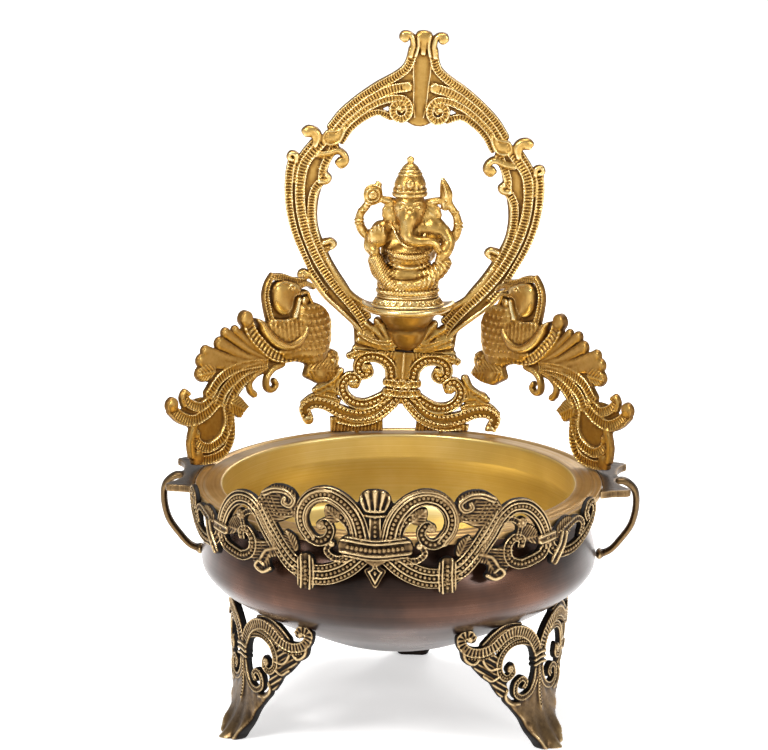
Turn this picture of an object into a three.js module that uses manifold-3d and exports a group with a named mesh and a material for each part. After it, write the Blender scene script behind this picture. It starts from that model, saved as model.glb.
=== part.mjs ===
import * as THREE from 'three';
import { mergeVertices } from 'three/addons/utils/BufferGeometryUtils.js';
import Module from 'manifold-3d';

// A brass urli: a wide bowl on three openwork legs, with two side handles, a cast frieze
// across the front of the rim, and a back panel that carries an arch, a seated figure
// and two peacocks. Millimetres, +Z up, front towards -Y, origin on the ground under
// the centre of the bowl.

// ---- Driving dimensions ----

// Bowl
const rimHeight = 165;
const rimInnerRadius = 120;
const flangeOuterRadius = 138.6;
const flangeThickness = 5;
const neckDepth = 19;
const bellyRadius = 134.5;
const bellyHeight = 111;
const wallThickness = 3;
const baseRadius = 41;
const baseHeight = 56;
const bowlSegments = 40;

// Gap kept between castings that touch
const clearance = 0.35;

// Legs
const legCount = 3;
const legInset = 23.5;
const legThickness = 5;
const legHalfWidth = 74;
const legBite = 2.2;
const toeFlare = 7;
const toeHalfWidth = 9;
const toeExtraDepth = 8;
const toeHeight = 40;
const legClock = -2.5;

// Front frieze
const friezeThickness = 4.6;
const friezeHalfSpan = 181;
const friezeRise = 35;
const friezeDrop = 31;
const friezeClock = -3.6;

// Side handles
const handleProjection = 26.4;
const handleCentreY = 16;
const hornProjection = 19.4;
const hornTipY = -17;
const prongProjection = 17.4;
const prongTipY = 49;
const strapWidth = 9;
const strapThickness = 5;
const strapDrop = 19;
const strapFootDrop = 1;

// Back panel and arch
const panelSetback = 1.3;
const panelThickness = 5;
const panelHalfWidth = 66;
const panelHeight = 59;
const panelClock = 3;
const panelLean = 3.5;
const panelOffsetX = 1.4;
const archHalfWidth = 87;
const archRise = 290;
const shelfRadius = 34;
const shelfThickness = 6;
const shelfRise = 97;
const bracketTopRadius = 21;
const bracketDrop = 30;

// Screws that hold the back panel to the flange
const screwRadius = 1.6;
const screwHeadRadius = 3.6;
const screwHeadHeight = 2.4;
const screwGrip = 6;
const screwSpacing = 60;

// Seated figure
const figureHeight = 106;
const figureHalfWidth = 37;
const pedestalRadius = 26;
const pedestalHeight = 9;

// Peacocks
const peacockThickness = 6;
const peacockHeight = 125;
const peacockTailAngle = 15;
const peacockTailInset = 3.5;
const peacockPanelOverlap = 16.1;

// ---- Materials ----

const goldBrass = new THREE.MeshStandardMaterial({ color: 0xc79a45, roughness: 0.32, metalness: 1 });
const darkBronze = new THREE.MeshStandardMaterial({ color: 0x4a3222, roughness: 0.42, metalness: 0.9 });
const antiqueBronze = new THREE.MeshStandardMaterial({ color: 0x8a6236, roughness: 0.45, metalness: 0.95 });
const steel = new THREE.MeshStandardMaterial({ color: 0xb9a06a, roughness: 0.35, metalness: 1 });

// ---- Solids ----

const wasm = await Module();
wasm.setup();

// Turns a closed three.js geometry into a solid that can be joined and cut. A geometry
// that was mirrored has its triangles turned over.
function toSolid(geometry, isMirrored = false) {
  const bare = geometry.clone();
  bare.deleteAttribute('normal');
  bare.deleteAttribute('uv');
  const merged = mergeVertices(bare, 1e-4);
  const triangles = Uint32Array.from(merged.index.array);
  if (isMirrored) {
    triangles.reverse();
  }
  const mesh = new wasm.Mesh({
    numProp: 3,
    vertProperties: Float32Array.from(merged.attributes.position.array),
    triVerts: triangles,
  });
  return new wasm.Manifold(mesh);
}

// Joins a list of geometries into one solid
function join(geometries) {
  return geometries
    .map((geometry) => toSolid(geometry))
    .reduce((whole, piece) => whole.add(piece));
}

function toGeometry(solid) {
  const mesh = solid.getMesh();
  const geometry = new THREE.BufferGeometry();
  geometry.setAttribute('position', new THREE.BufferAttribute(Float32Array.from(mesh.vertProperties), 3));
  geometry.setIndex(new THREE.BufferAttribute(Uint32Array.from(mesh.triVerts), 1));
  geometry.computeVertexNormals();
  return geometry;
}

function addNode(parent, name, geometry, material) {
  const mesh = new THREE.Mesh(geometry, material);
  mesh.name = name;
  parent.add(mesh);
  return mesh;
}

function mirrored(points) {
  return points.map(([u, v]) => [-u, v]);
}

// A flat strip of constant width that follows a smooth line in the u, v plane
function strip(points, width, depth, steps) {
  const line = points.map(([u, v]) => new THREE.Vector3(u, v, 0));
  const curve = new THREE.CatmullRomCurve3(line, false, 'centripetal');
  const section = new THREE.Shape();
  section.moveTo(-depth, -width / 2);
  section.lineTo(0, -width / 2);
  section.lineTo(0, width / 2);
  section.lineTo(-depth, width / 2);
  section.closePath();
  const count = steps ?? Math.max(4, points.length + 2);
  return new THREE.ExtrudeGeometry(section, { steps: count, extrudePath: curve });
}

// A flat plate with the given outline in the u, v plane
function plate(points, depth) {
  const shape = new THREE.Shape(points.map(([u, v]) => new THREE.Vector2(u, v)));
  return new THREE.ExtrudeGeometry(shape, { depth, bevelEnabled: false, steps: 1 });
}

// Both halves of a casting drawn once on the +u side
function bothSides(draw) {
  return [...draw((points) => points), ...draw(mirrored)];
}

// Moves every point of a geometry drawn in u, v, w by a rule that returns x, y, z
function bend(geometry, rule) {
  const position = geometry.attributes.position;
  for (let index = 0; index < position.count; index += 1) {
    const [x, y, z] = rule(position.getX(index), position.getY(index), position.getZ(index));
    position.setXYZ(index, x, y, z);
  }
  return geometry;
}

function move(geometries, matrix) {
  return geometries.map((geometry) => geometry.clone().applyMatrix4(matrix));
}

function box(size, position) {
  const geometry = new THREE.BoxGeometry(size[0], size[1], size[2]);
  geometry.translate(position[0], position[1], position[2]);
  return geometry;
}

// ---- Bowl ----

const neckOuterRadius = rimInnerRadius + wallThickness;
const neckFoot = rimHeight - neckDepth;
const flangeUnderside = rimHeight - flangeThickness;

// Shape of the belly below and above its widest line, as shares of its own width and depth
const lowerBelly = [[0.15, 0.09], [0.4, 0.29], [0.63, 0.48], [0.82, 0.68], [0.94, 0.84], [1, 1]];
const upperBelly = [[0.94, 0.3], [0.62, 0.66], [0.24, 0.88], [0, 1]];

// Outer wall of the bowl from the foot up to the underside of the flange, grown by a margin
function outerWall(margin) {
  const points = [[baseRadius + margin, baseHeight - margin]];
  for (const [across, up] of lowerBelly) {
    const r = baseRadius + (bellyRadius - baseRadius) * across;
    const z = baseHeight + (bellyHeight - baseHeight) * up;
    points.push([r + margin * up, z - margin * (1 - up * up)]);
  }
  for (const [across, up] of upperBelly) {
    const r = neckOuterRadius + (bellyRadius - neckOuterRadius) * across;
    const z = bellyHeight + (neckFoot - bellyHeight) * up;
    points.push([r + margin, z]);
  }
  return points;
}

// Height of the underside of the belly at a radius
function undersideHeight(radius) {
  const share = (radius - baseRadius) / (bellyRadius - baseRadius);
  const table = [[0, 0], ...lowerBelly];
  const next = Math.max(1, table.findIndex(([across]) => across >= share));
  const [a0, u0] = table[next - 1];
  const [a1, u1] = table[next];
  return baseHeight + (bellyHeight - baseHeight) * (u0 + (u1 - u0) * (share - a0) / (a1 - a0));
}

// Outer radius of the belly above its widest line
function wallRadius(z) {
  const share = (z - bellyHeight) / (neckFoot - bellyHeight);
  if (share <= 0) {
    return bellyRadius;
  }
  const table = [[1, 0], ...upperBelly, [0, 2]];
  const next = Math.max(1, table.findIndex(([, up]) => up >= share));
  const [a0, u0] = table[next - 1];
  const [a1, u1] = table[next];
  return neckOuterRadius + (bellyRadius - neckOuterRadius) * (a0 + (a1 - a0) * (share - u0) / (u1 - u0));
}

function innerWall() {
  const points = [];
  for (const [across, up] of [...upperBelly].reverse()) {
    const r = neckOuterRadius + (bellyRadius - neckOuterRadius) * across;
    points.push([r - wallThickness, bellyHeight + (neckFoot - bellyHeight) * up]);
  }
  for (const [across, up] of [...lowerBelly].reverse()) {
    const r = baseRadius + (bellyRadius - baseRadius) * across;
    const z = baseHeight + (bellyHeight - baseHeight) * up;
    points.push([r - wallThickness * up, z + wallThickness * (1 - up * up)]);
  }
  return points;
}

function turned(profile, segments) {
  const points = profile.map(([r, z]) => new THREE.Vector2(r, z));
  const geometry = new THREE.LatheGeometry(points, segments);
  geometry.rotateX(Math.PI / 2);
  return geometry;
}

const footRecess = 2;
const bowlProfile = [
  [0, baseHeight + footRecess],
  [baseRadius - wallThickness, baseHeight + footRecess],
  [baseRadius - wallThickness, baseHeight],
  ...outerWall(0),
  [neckOuterRadius, flangeUnderside],
  [flangeOuterRadius, flangeUnderside],
  [flangeOuterRadius, rimHeight],
  [rimInnerRadius, rimHeight],
  ...innerWall(),
  [baseRadius, baseHeight + footRecess + wallThickness],
  [0, baseHeight + footRecess + wallThickness],
];

// The back panel stands on the middle of the flange
const panelY = (rimInnerRadius + flangeOuterRadius) / 2 - panelSetback;

const urli = new THREE.Group();

const panelFrame = new THREE.Matrix4()
  .makeRotationZ(THREE.MathUtils.degToRad(panelClock));
const screwOffsets = [-screwSpacing / 2, screwSpacing / 2];
const screwNames = ['panel_screw_left', 'panel_screw_right'];

function screwHole(offset, bottom, top) {
  const holeRadius = screwRadius + clearance;
  const geometry = new THREE.CylinderGeometry(holeRadius, holeRadius, top - bottom, 12);
  geometry.rotateX(Math.PI / 2);
  geometry.translate(offset + panelOffsetX, panelY, (top + bottom) / 2);
  geometry.applyMatrix4(panelFrame);
  return toSolid(geometry);
}

const bowlSolid = screwOffsets.reduce(
  (solid, offset) => solid.subtract(screwHole(offset, flangeUnderside - 1, rimHeight + 1)),
  toSolid(turned(bowlProfile, bowlSegments)),
);
addNode(urli, 'bowl', toGeometry(bowlSolid), darkBronze);

// ---- Legs ----

// Each leg is a flat openwork casting bent round the bowl: two mirrored S-scrolls tied
// together above an acanthus foot. Points are drawn for a leg 74 wide and 92 high.
const legRadius = bellyRadius - legInset;
const legTop = undersideHeight(legRadius) + legBite;
const legU = legHalfWidth / 74;
const legV = (legTop - toeHeight) / 52;

function legPoints(points) {
  return points.map(([u, v]) => [u * legU, v > 40 ? toeHeight + (v - 40) * legV : v * toeHeight / 40]);
}

const legScroll = [
  [1, 60], [3, 67], [8, 76], [17, 83.5], [27, 86],
  [36, 83], [44, 78], [53, 76], [62, 78], [67, 83],
];
const legCurl = [[67, 83], [66, 88], [60, 89], [57.5, 85], [60, 82.5]];
const legInner = [
  [10, 69], [17, 74], [26, 75], [34, 71], [37.5, 64],
  [37, 57], [32, 53.5], [26.5, 56], [28, 61],
];
const legLower = [[2, 56], [4, 46], [10, 39], [19, 38], [24, 42.5], [22, 48], [16.5, 49], [15, 45]];
const legLeaf = [
  [66, 77], [59, 66], [52, 58], [45, 52], [41, 46],
  [34, 40], [30, 50], [38, 58], [42, 72], [50, 80],
];
const legHeel = [[5, 52], [14, 38], [24, 40], [35, 48], [34, 38], [28, 31], [22, 22], [16, 13]];
const legTie = [[-4.5, 54], [4.5, 54], [4.5, 66], [-4.5, 66]];

function legHalf(side) {
  return [
    strip(side(legPoints(legScroll)), 10, legThickness, 9),
    strip(side(legPoints(legCurl)), 6, legThickness - 0.5, 4),
    strip(side(legPoints(legInner)), 5, legThickness - 1, 7),
    strip(side(legPoints(legLower)), 5, legThickness - 1, 6),
    plate(side(legPoints(legLeaf)), legThickness - 1.5),
  ];
}

// The foot flares out and thickens towards a flat-bottomed toe
const footSide = [...legPoints(legHeel), [toeHalfWidth + 2, toeHeight / 10], [toeHalfWidth, 0]];
const footOutline = [...footSide, ...mirrored(footSide).reverse()];

function legRule(u, v, w) {
  const low = Math.max(0, 1 - v / toeHeight);
  const r = legRadius + toeFlare * low * low + w * (1 + (toeExtraDepth / legThickness) * low * low);
  const angle = u / (legRadius + legThickness / 2);
  return [r * Math.sin(angle), -r * Math.cos(angle), v];
}

const legPieces = [
  ...bothSides(legHalf),
  plate(footOutline, legThickness),
  plate(legPoints(legTie), legThickness + 1),
].map((geometry) => bend(geometry, legRule));

const bowlEnvelope = toSolid(turned(
  [[0, baseHeight - clearance], ...outerWall(clearance), [0, neckFoot]],
  bowlSegments,
));
const legNames = ['leg_front_left', 'leg_back', 'leg_front_right'];
for (let index = 0; index < legCount; index += 1) {
  const degrees = -180 / legCount - (360 / legCount) * index + legClock;
  const turn = new THREE.Matrix4().makeRotationZ(THREE.MathUtils.degToRad(degrees));
  const solid = join(move(legPieces, turn)).subtract(bowlEnvelope);
  addNode(urli, legNames[index] ?? `leg_${index + 1}`, toGeometry(solid), antiqueBronze);
}

// ---- Front frieze ----

// An openwork casting bent round the edge of the flange. Points are drawn for a frieze
// 181 wide each way, 35 above and 31 below the rim; u runs along the flange.
const friezeRadius = Math.max(flangeOuterRadius, wallRadius(rimHeight - friezeDrop)) + clearance;

function friezePoints(points) {
  const rise = friezeRise / 35;
  const drop = friezeDrop / 31;
  return points.map(([u, v]) => [u * friezeHalfSpan / 181, v * (v > 0 ? rise : drop)]);
}

const archBand = [
  [9, 0], [12, 12.5], [17, 20.7], [24, 26.6], [32, 29.2],
  [41, 27], [47.3, 20.8], [49.8, 12.9], [48.4, 5.8], [44, -0.2],
];
const archSpiral = [[44, -0.2], [37.5, -2.8], [32, -0.4], [29.5, 5.8], [33, 10.5], [37, 8]];
const archInner = [[14.4, 0], [16.8, 10], [22, 15.3], [27, 17]];
const lowerArm = [[10, -10], [17.8, -18], [25.5, -22.4], [33, -25], [41, -25.7], [50, -24.5]];
const lowerCurl = [[15, -9], [22, -11.5], [27.5, -11], [31, -7.5], [29.5, -4]];
const wrapBand = [[45.5, -7], [45.5, -19], [46, -31]];
const risingBand = [[50, -22], [58, -17], [66, -8.5], [73, 2], [80, 13]];
const sideScroll = [
  [70, -8], [77, 1], [83, 10], [92, 16.2], [103, 15.5], [113, 8], [119.5, -3], [121, -12],
];
const sideScrollLow = [
  [121, -12], [117, -18.5], [108, -21], [98, -22],
  [90.5, -17.5], [89.5, -9], [95, -4.5], [100, -8],
];
const sideHook = [[82, 4], [88, 7.5], [94, 6.5], [98, 1], [97, -6]];
const sideLeaf = [[69, -10], [80, -10], [92, -12], [88, -20], [80, -30], [73, -27], [77, -20], [70, -16]];
const topFan = [
  [52, 24], [56, 28.5], [63, 30.5], [74, 27.5], [82, 17],
  [76, 6], [66, 10], [58, 14], [50, 14],
];
const endScroll = [
  [121, -6], [126, -17], [134, -21.5], [146, -22], [157, -19], [167, -14],
  [175, -8], [178.5, -3], [176, 2], [169, 2], [165, -3],
];
const endTie = [[127, -24], [133, -14], [139, -17], [135, -27]];
const clasp = [[-17, -9.5], [0, -12], [17, -9.5], [18, 1], [0, -1], [-18, 1]];
const palmette = [
  [-4, -2], [-3, 15], [-5, 20], [-9, 29], [-5, 32.5], [0, 33.5],
  [5, 32.5], [9, 29], [5, 20], [3, 15], [4, -2],
];
const pendant = [[-3.5, -10], [-3, -17], [-6, -19], [0, -30.5], [6, -19], [3, -17], [3.5, -10]];

function friezeHalf(side) {
  return [
    strip(side(friezePoints(archBand)), 11, friezeThickness, 10),
    strip(side(friezePoints(archSpiral)), 6.5, friezeThickness - 0.4, 6),
    strip(side(friezePoints(archInner)), 6, friezeThickness - 0.8, 4),
    strip(side(friezePoints(lowerArm)), 11, friezeThickness, 6),
    strip(side(friezePoints(lowerCurl)), 5, friezeThickness - 0.8, 4),
    strip(side(friezePoints(wrapBand)), 10, friezeThickness + 0.4, 3),
    strip(side(friezePoints(risingBand)), 11, friezeThickness - 0.2, 5),
    strip(side(friezePoints(sideScroll)), 8, friezeThickness, 9),
    strip(side(friezePoints(sideScrollLow)), 7, friezeThickness - 0.4, 8),
    strip(side(friezePoints(sideHook)), 4.5, friezeThickness - 1, 4),
    plate(side(friezePoints(sideLeaf)), friezeThickness - 1.2),
    plate(side(friezePoints(topFan)), friezeThickness - 0.6),
    strip(side(friezePoints(endScroll)), 6.5, friezeThickness - 0.4, 10),
    plate(side(friezePoints(endTie)), friezeThickness),
  ];
}

function friezeRule(u, v, w) {
  const angle = u / (friezeRadius + friezeThickness / 2) + THREE.MathUtils.degToRad(friezeClock);
  const r = friezeRadius + w;
  return [r * Math.sin(angle), -r * Math.cos(angle), rimHeight + v];
}

const friezePieces = [
  ...bothSides(friezeHalf),
  plate(friezePoints(clasp), friezeThickness + 0.8),
  plate(friezePoints(palmette), friezeThickness - 0.2),
  plate(friezePoints(pendant), friezeThickness - 0.2),
].map((geometry) => bend(geometry, friezeRule));
addNode(urli, 'front_frieze', toGeometry(join(friezePieces)), antiqueBronze);

// ---- Side handles ----

// A flat ear set against the edge of the flange, with a horn and a prong, and a strap
// that loops down from it to the belly of the bowl
const handleEdge = Math.max(flangeOuterRadius, bellyRadius);
const hornTipX = handleEdge + hornProjection;
const prongTipX = handleEdge + prongProjection;
const handleReach = handleEdge + handleProjection;

function handleSolid(side) {
  const inner = [];
  const edge = flangeOuterRadius + clearance;
  const firstAngle = Math.asin((hornTipY - 4) / edge);
  const lastAngle = Math.asin((prongTipY + 6) / edge);
  for (let step = 0; step <= 10; step += 1) {
    const angle = lastAngle + (firstAngle - lastAngle) * step / 10;
    inner.push([edge * Math.cos(angle), edge * Math.sin(angle)]);
  }
  const outline = [
    ...inner,
    [hornTipX - 12, hornTipY - 1],
    [hornTipX, hornTipY],
    [hornTipX - 1, hornTipY + 6],
    [hornTipX - 7, hornTipY + 14],
    [hornTipX - 9, handleCentreY - strapWidth],
    [hornTipX - 9, handleCentreY + strapWidth],
    [prongTipX - 6, prongTipY - 10],
    [prongTipX, prongTipY - 3],
    [prongTipX - 1, prongTipY + 3],
    [prongTipX - 8, prongTipY + 6],
    [prongTipX - 18, prongTipY + 4],
  ];
  const ear = plate(outline.map(([x, y]) => [side * x, y]), flangeThickness);
  ear.translate(0, 0, flangeUnderside);
  const top = rimHeight - flangeThickness / 2;
  const footHeight = bellyHeight - strapFootDrop;
  const footReach = bellyRadius + clearance;
  const out = handleReach - strapThickness / 2;
  const path = [
    [hornTipX - 14, top],
    [out - 8, top - 1],
    [out - 1, top - 8],
    [out, rimHeight - strapDrop],
    [out - 3, rimHeight - strapDrop - 14],
    [out - 11, footHeight + 12],
    [footReach + 8, footHeight + 2.5],
    [footReach + 0.1, footHeight],
  ];
  const strap = strip(path.map(([x, z]) => [side * x, z]), strapThickness, strapWidth, 16);
  strap.rotateX(Math.PI / 2);
  strap.translate(0, handleCentreY + strapWidth / 2, 0);
  return toSolid(ear).add(toSolid(strap)).subtract(bowlEnvelope);
}

addNode(urli, 'handle_left', toGeometry(handleSolid(-1)), darkBronze);
addNode(urli, 'handle_right', toGeometry(handleSolid(1)), darkBronze);

// ---- Back panel and arch ----

// Both castings are drawn in a plane that leans a little to one side. u is across,
// v is up from the rim, drawn for an arch 87 wide each way and 290 high.
const lean = THREE.MathUtils.degToRad(panelLean);
const panelFront = panelY - panelThickness / 2;

function panelRule(u, v, w) {
  const x = panelOffsetX + u * Math.cos(lean) + v * Math.sin(lean);
  const z = rimHeight + v * Math.cos(lean) - u * Math.sin(lean);
  return [x, panelFront + panelThickness - w, z];
}

// The drawing plane faces the viewer, so depth runs from the back face towards -Y
function placePanel(geometries) {
  return geometries.map((geometry) => bend(geometry, panelRule).applyMatrix4(panelFrame));
}

function panelPoints(points) {
  return points.map(([u, v]) => [u * panelHalfWidth / 66, v * panelHeight / 59]);
}

function archPoints(points) {
  const scale = (archRise - panelHeight) / 231;
  return points.map(([u, v]) => [u * archHalfWidth / 87, panelHeight + (v - 59) * scale]);
}

const panelFoot = [[11, -6], [49, -6], [50, 8], [34, 11], [13, 9]];
const panelLow = [[2, 33], [9, 22], [21, 12.5], [38, 11.5], [50, 17.5], [59, 18], [65, 12], [62, 5]];
const panelInner = [[1, 38], [6, 28], [16, 22.5], [28, 22.5], [38, 29], [40, 38], [35, 42], [31, 37]];
const panelUpper = [[1, 36], [3, 47], [10, 54], [20, 55.5], [29, 50], [29, 43], [22, 45]];
const panelLeaf = [[40, 48], [51, 39], [60, 36], [61, 26], [48, 24], [40, 30]];
const panelVase = [[-10, 64], [10, 64], [5, 47], [3, 36], [-3, 36], [-5, 47]];
const panelShoulder = [[8, 64], [36, 64], [40, 56], [33, 48], [24, 53], [12, 56]];
const panelTie = [[-5, 28], [5, 28], [5, 40], [-5, 40]];

function panelHalf(side) {
  return [
    plate(side(panelPoints(panelFoot)), panelThickness),
    strip(side(panelPoints(panelLow)), 8, panelThickness - 0.3, 8),
    strip(side(panelPoints(panelInner)), 6, panelThickness - 0.6, 8),
    strip(side(panelPoints(panelUpper)), 6, panelThickness - 0.6, 6),
    plate(side(panelPoints(panelLeaf)), panelThickness - 0.9),
    plate(side(panelPoints(panelShoulder)), panelThickness - 0.3),
  ];
}

// The two castings meet on a level line in the leaning plane

function slabBetween(low, high) {
  const slab = new THREE.BoxGeometry(400, high - low, 100);
  slab.translate(0, (low + high) / 2, 0);
  return toSolid(placePanel([slab])[0]);
}

const aboveRim = toSolid(box([600, 600, 600], [0, 0, rimHeight + clearance + 300]));
const panelPieces = placePanel([
  ...bothSides(panelHalf),
  plate(panelPoints(panelVase), panelThickness),
  plate(panelPoints(panelTie), panelThickness + 1),
]);
const panelSolid = screwOffsets.reduce(
  (solid, offset) => solid.subtract(screwHole(offset, rimHeight - 1, rimHeight + screwGrip)),
  join(panelPieces).intersect(slabBetween(-50, panelHeight)).intersect(aboveRim),
);
addNode(urli, 'back_panel', toGeometry(panelSolid), goldBrass);

const archCrown = [
  [-1, 282], [0, 282], [6, 269], [14, 259], [30, 249], [46, 237], [59, 222], [67, 207],
  [56, 196], [50, 208], [42, 221], [30, 232.5], [18, 239.5], [8, 241], [-1, 241],
];
const archSide = [
  [62, 212], [68, 200], [78, 184], [85, 192], [89, 187],
  [89.5, 176], [87, 160], [81, 141], [72, 122], [62, 107],
  [48, 90], [37, 76], [31, 62], [8, 62], [17, 74], [29, 90],
  [42, 107], [54, 126], [60, 139], [63, 156], [62, 170],
  [56, 182], [53, 194],
];
const archTopSpiral = [[19, 240], [11, 236], [7, 230], [12, 225], [17, 229]];
const archBud = [[60, 204], [64, 213], [72, 217], [79, 213], [77, 206], [72, 207]];
const archHook = [[65, 199], [58, 203], [50, 202], [45, 196], [49, 190]];
const archSideCurl = [[74, 190], [77, 199], [83, 199], [86, 190]];
const archShelfCurl = [[51, 133], [57, 129], [57, 121], [49, 111], [38, 100], [28, 94]];
const archBeakCurl = [[60, 111], [66, 114], [71, 109], [68, 103], [63, 106]];
const archFan = [[0, 50], [38, 50], [36, 68], [31, 80], [22, 84], [11, 85], [0, 80]];
const archSill = [[0, 91], [22, 91], [42, 94]];
const finialKnob = [
  [-7, 282], [-9, 276], [-6, 268], [6, 268], [9, 276],
  [7, 282], [3, 287], [0, 289.6], [-3, 287],
];
const finialCurl = [[5, 270], [11, 273], [14, 278], [12, 283], [8, 281]];

function archHalf(side) {
  return [
    plate(side(archPoints(archCrown)), panelThickness),
    plate(side(archPoints(archSide)), panelThickness),
    strip(side(archPoints(archTopSpiral)), 5, panelThickness - 0.7, 5),
    strip(side(archPoints(archBud)), 6, panelThickness - 0.3, 5),
    strip(side(archPoints(archHook)), 5, panelThickness - 0.9, 5),
    strip(side(archPoints(archSideCurl)), 5, panelThickness - 0.5, 4),
    strip(side(archPoints(archShelfCurl)), 5, panelThickness - 0.3, 6),
    strip(side(archPoints(archBeakCurl)), 4.5, panelThickness - 0.9, 5),
    plate(side(archPoints(archFan)), panelThickness - 1.2),
    strip(side(archPoints(archSill)), 8, panelThickness - 0.2, 3),
    strip(side(archPoints(finialCurl)), 4, panelThickness - 0.9, 5),
  ];
}

const archPieces = placePanel([
  ...bothSides(archHalf),
  plate(archPoints(finialKnob), panelThickness + 1),
]);
const archSolid = join(archPieces).intersect(slabBetween(panelHeight + clearance, archRise + 50));
addNode(urli, 'arch_frame', toGeometry(archSolid), goldBrass);

for (let index = 0; index < screwOffsets.length; index += 1) {
  const shankTop = rimHeight + screwGrip - 1;
  const headTop = flangeUnderside - clearance;
  const shank = new THREE.CylinderGeometry(screwRadius, screwRadius, shankTop - headTop + 0.5, 12);
  shank.rotateX(Math.PI / 2);
  shank.translate(0, 0, (shankTop + headTop - 0.5) / 2);
  const head = new THREE.CylinderGeometry(screwHeadRadius, screwHeadRadius, screwHeadHeight, 12);
  head.rotateX(Math.PI / 2);
  head.translate(0, 0, headTop - screwHeadHeight / 2);
  const pieces = [shank, head].map((geometry) => {
    geometry.translate(screwOffsets[index] + panelOffsetX, panelY, 0);
    return geometry.applyMatrix4(panelFrame);
  });
  addNode(urli, screwNames[index], toGeometry(join(pieces)), steel);
}

// ---- Shelf and bracket ----

const shelfFront = panelFront - clearance;
const shelfCentreX = panelOffsetX + shelfRise * Math.sin(lean);
const shelfTop = rimHeight + shelfRise;
const inFrontOfPanel = toSolid(box([600, 600, 900], [0, shelfFront - 300, 0]));

function atShelf(profile, segments) {
  const geometry = turned(profile, segments);
  geometry.translate(shelfCentreX, shelfFront, 0);
  return geometry;
}

function toPanelFrame(solid) {
  return toGeometry(solid).applyMatrix4(panelFrame);
}

const shelfProfile = [
  [0, shelfTop - shelfThickness],
  [shelfRadius - 2, shelfTop - shelfThickness],
  [shelfRadius, shelfTop - shelfThickness / 2],
  [shelfRadius - 1, shelfTop],
  [0, shelfTop],
];
addNode(urli, 'shelf', toPanelFrame(toSolid(atShelf(shelfProfile, 32)).intersect(inFrontOfPanel)), goldBrass);

const bracketTop = shelfTop - shelfThickness - clearance;
const bracketProfile = [
  [0, bracketTop - bracketDrop],
  [5, bracketTop - bracketDrop + 1],
  [bracketTopRadius * 0.62, bracketTop - bracketDrop * 0.62],
  [bracketTopRadius * 0.92, bracketTop - bracketDrop * 0.3],
  [bracketTopRadius, bracketTop],
  [0, bracketTop],
];
addNode(
  urli,
  'shelf_bracket',
  toPanelFrame(toSolid(atShelf(bracketProfile, 20)).intersect(inFrontOfPanel)),
  goldBrass,
);

// ---- Lotus pedestal and seated figure ----

const seatY = shelfFront - shelfRadius / 2 + 1;
const pedestalBase = shelfTop + clearance;
const seatRadius = Math.min(pedestalRadius, shelfRadius / 2 - 1.5);
const pedestalProfile = [
  [0, 0],
  [seatRadius - 2, 0],
  [seatRadius, pedestalHeight * 0.25],
  [seatRadius - 2, pedestalHeight * 0.5],
  [seatRadius, pedestalHeight * 0.8],
  [seatRadius - 1.5, pedestalHeight],
  [0, pedestalHeight],
];
const pedestal = turned(pedestalProfile, 16);
pedestal.scale(pedestalRadius / seatRadius, 1, 1);
pedestal.translate(shelfCentreX, seatY, pedestalBase);
pedestal.applyMatrix4(panelFrame);
addNode(urli, 'lotus_pedestal', pedestal, goldBrass);

// The figure is drawn 97 high and 37 wide each way, standing on the pedestal
const figureBase = pedestalBase + pedestalHeight + clearance;
const figureScale = (figureHeight - pedestalHeight) / 97;
const figureSide = figureHalfWidth / 37;

function placeFigure(geometry) {
  geometry.scale(figureSide, figureScale, figureScale);
  geometry.translate(shelfCentreX, seatY, figureBase);
  return geometry.applyMatrix4(panelFrame);
}

function ball(centre, radii, across = 8, up = 5) {
  const geometry = new THREE.SphereGeometry(1, across, up);
  geometry.rotateX(Math.PI / 2);
  geometry.scale(radii[0], radii[1], radii[2]);
  geometry.translate(centre[0], centre[1], centre[2]);
  return geometry;
}

function limb(points, radius, steps = 4) {
  const curve = new THREE.CatmullRomCurve3(points.map((point) => new THREE.Vector3(...point)));
  const section = new THREE.Shape();
  section.absarc(0, 0, radius, 0, Math.PI * 2);
  return new THREE.ExtrudeGeometry(section, { steps, curveSegments: 3, extrudePath: curve });
}

const crownProfile = [
  [0, 58], [11, 58], [11.5, 66], [9, 72], [8.5, 79],
  [5.5, 83], [3, 88], [3.6, 92], [1.5, 96], [0, 97],
];
const figureHalf = (side) => [
  ball([side * 17, -1, 7], [14, 10, 7]),
  limb([[side * 12, 0, 42], [side * 22, -1, 38], [side * 27, -4, 29], [side * 21, -9, 24]], 4.2),
  limb([[side * 12, 2, 42], [side * 23, 2, 47], [side * 30, 1, 55], [side * 26, 0, 66]], 3.6),
  ball([side * 25, 0, 74], [6, 3, 9]),
  ball([side * 14, -1, 54], [7, 2.5, 8.5]),
];
const figurePieces = [
  ...figureHalf(-1),
  ...figureHalf(1),
  ball([0, 0, 4.5], [22, 12, 5]),
  ball([0, -2, 22], [15.5, 12, 15]),
  ball([0, 0, 38], [13.5, 8.5, 11]),
  ball([0, -2, 53], [11, 9.5, 11]),
  limb([[0, -9, 53], [1, -12.5, 45], [4, -14, 36], [9, -13.5, 30], [13, -12, 33]], 3.4, 5),
  turned(crownProfile, 8),
].map(placeFigure);
const figureFloor = toSolid(box([600, 600, 600], [0, 0, figureBase + 300]));
const figureBehind = toSolid(
  box([600, 600, 900], [0, panelFront - clearance - 300, 0]).applyMatrix4(panelFrame),
);
const figureSolid = join(figurePieces).intersect(figureFloor).intersect(figureBehind);
addNode(urli, 'seated_figure', toGeometry(figureSolid), goldBrass);

// ---- Peacocks ----

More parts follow.
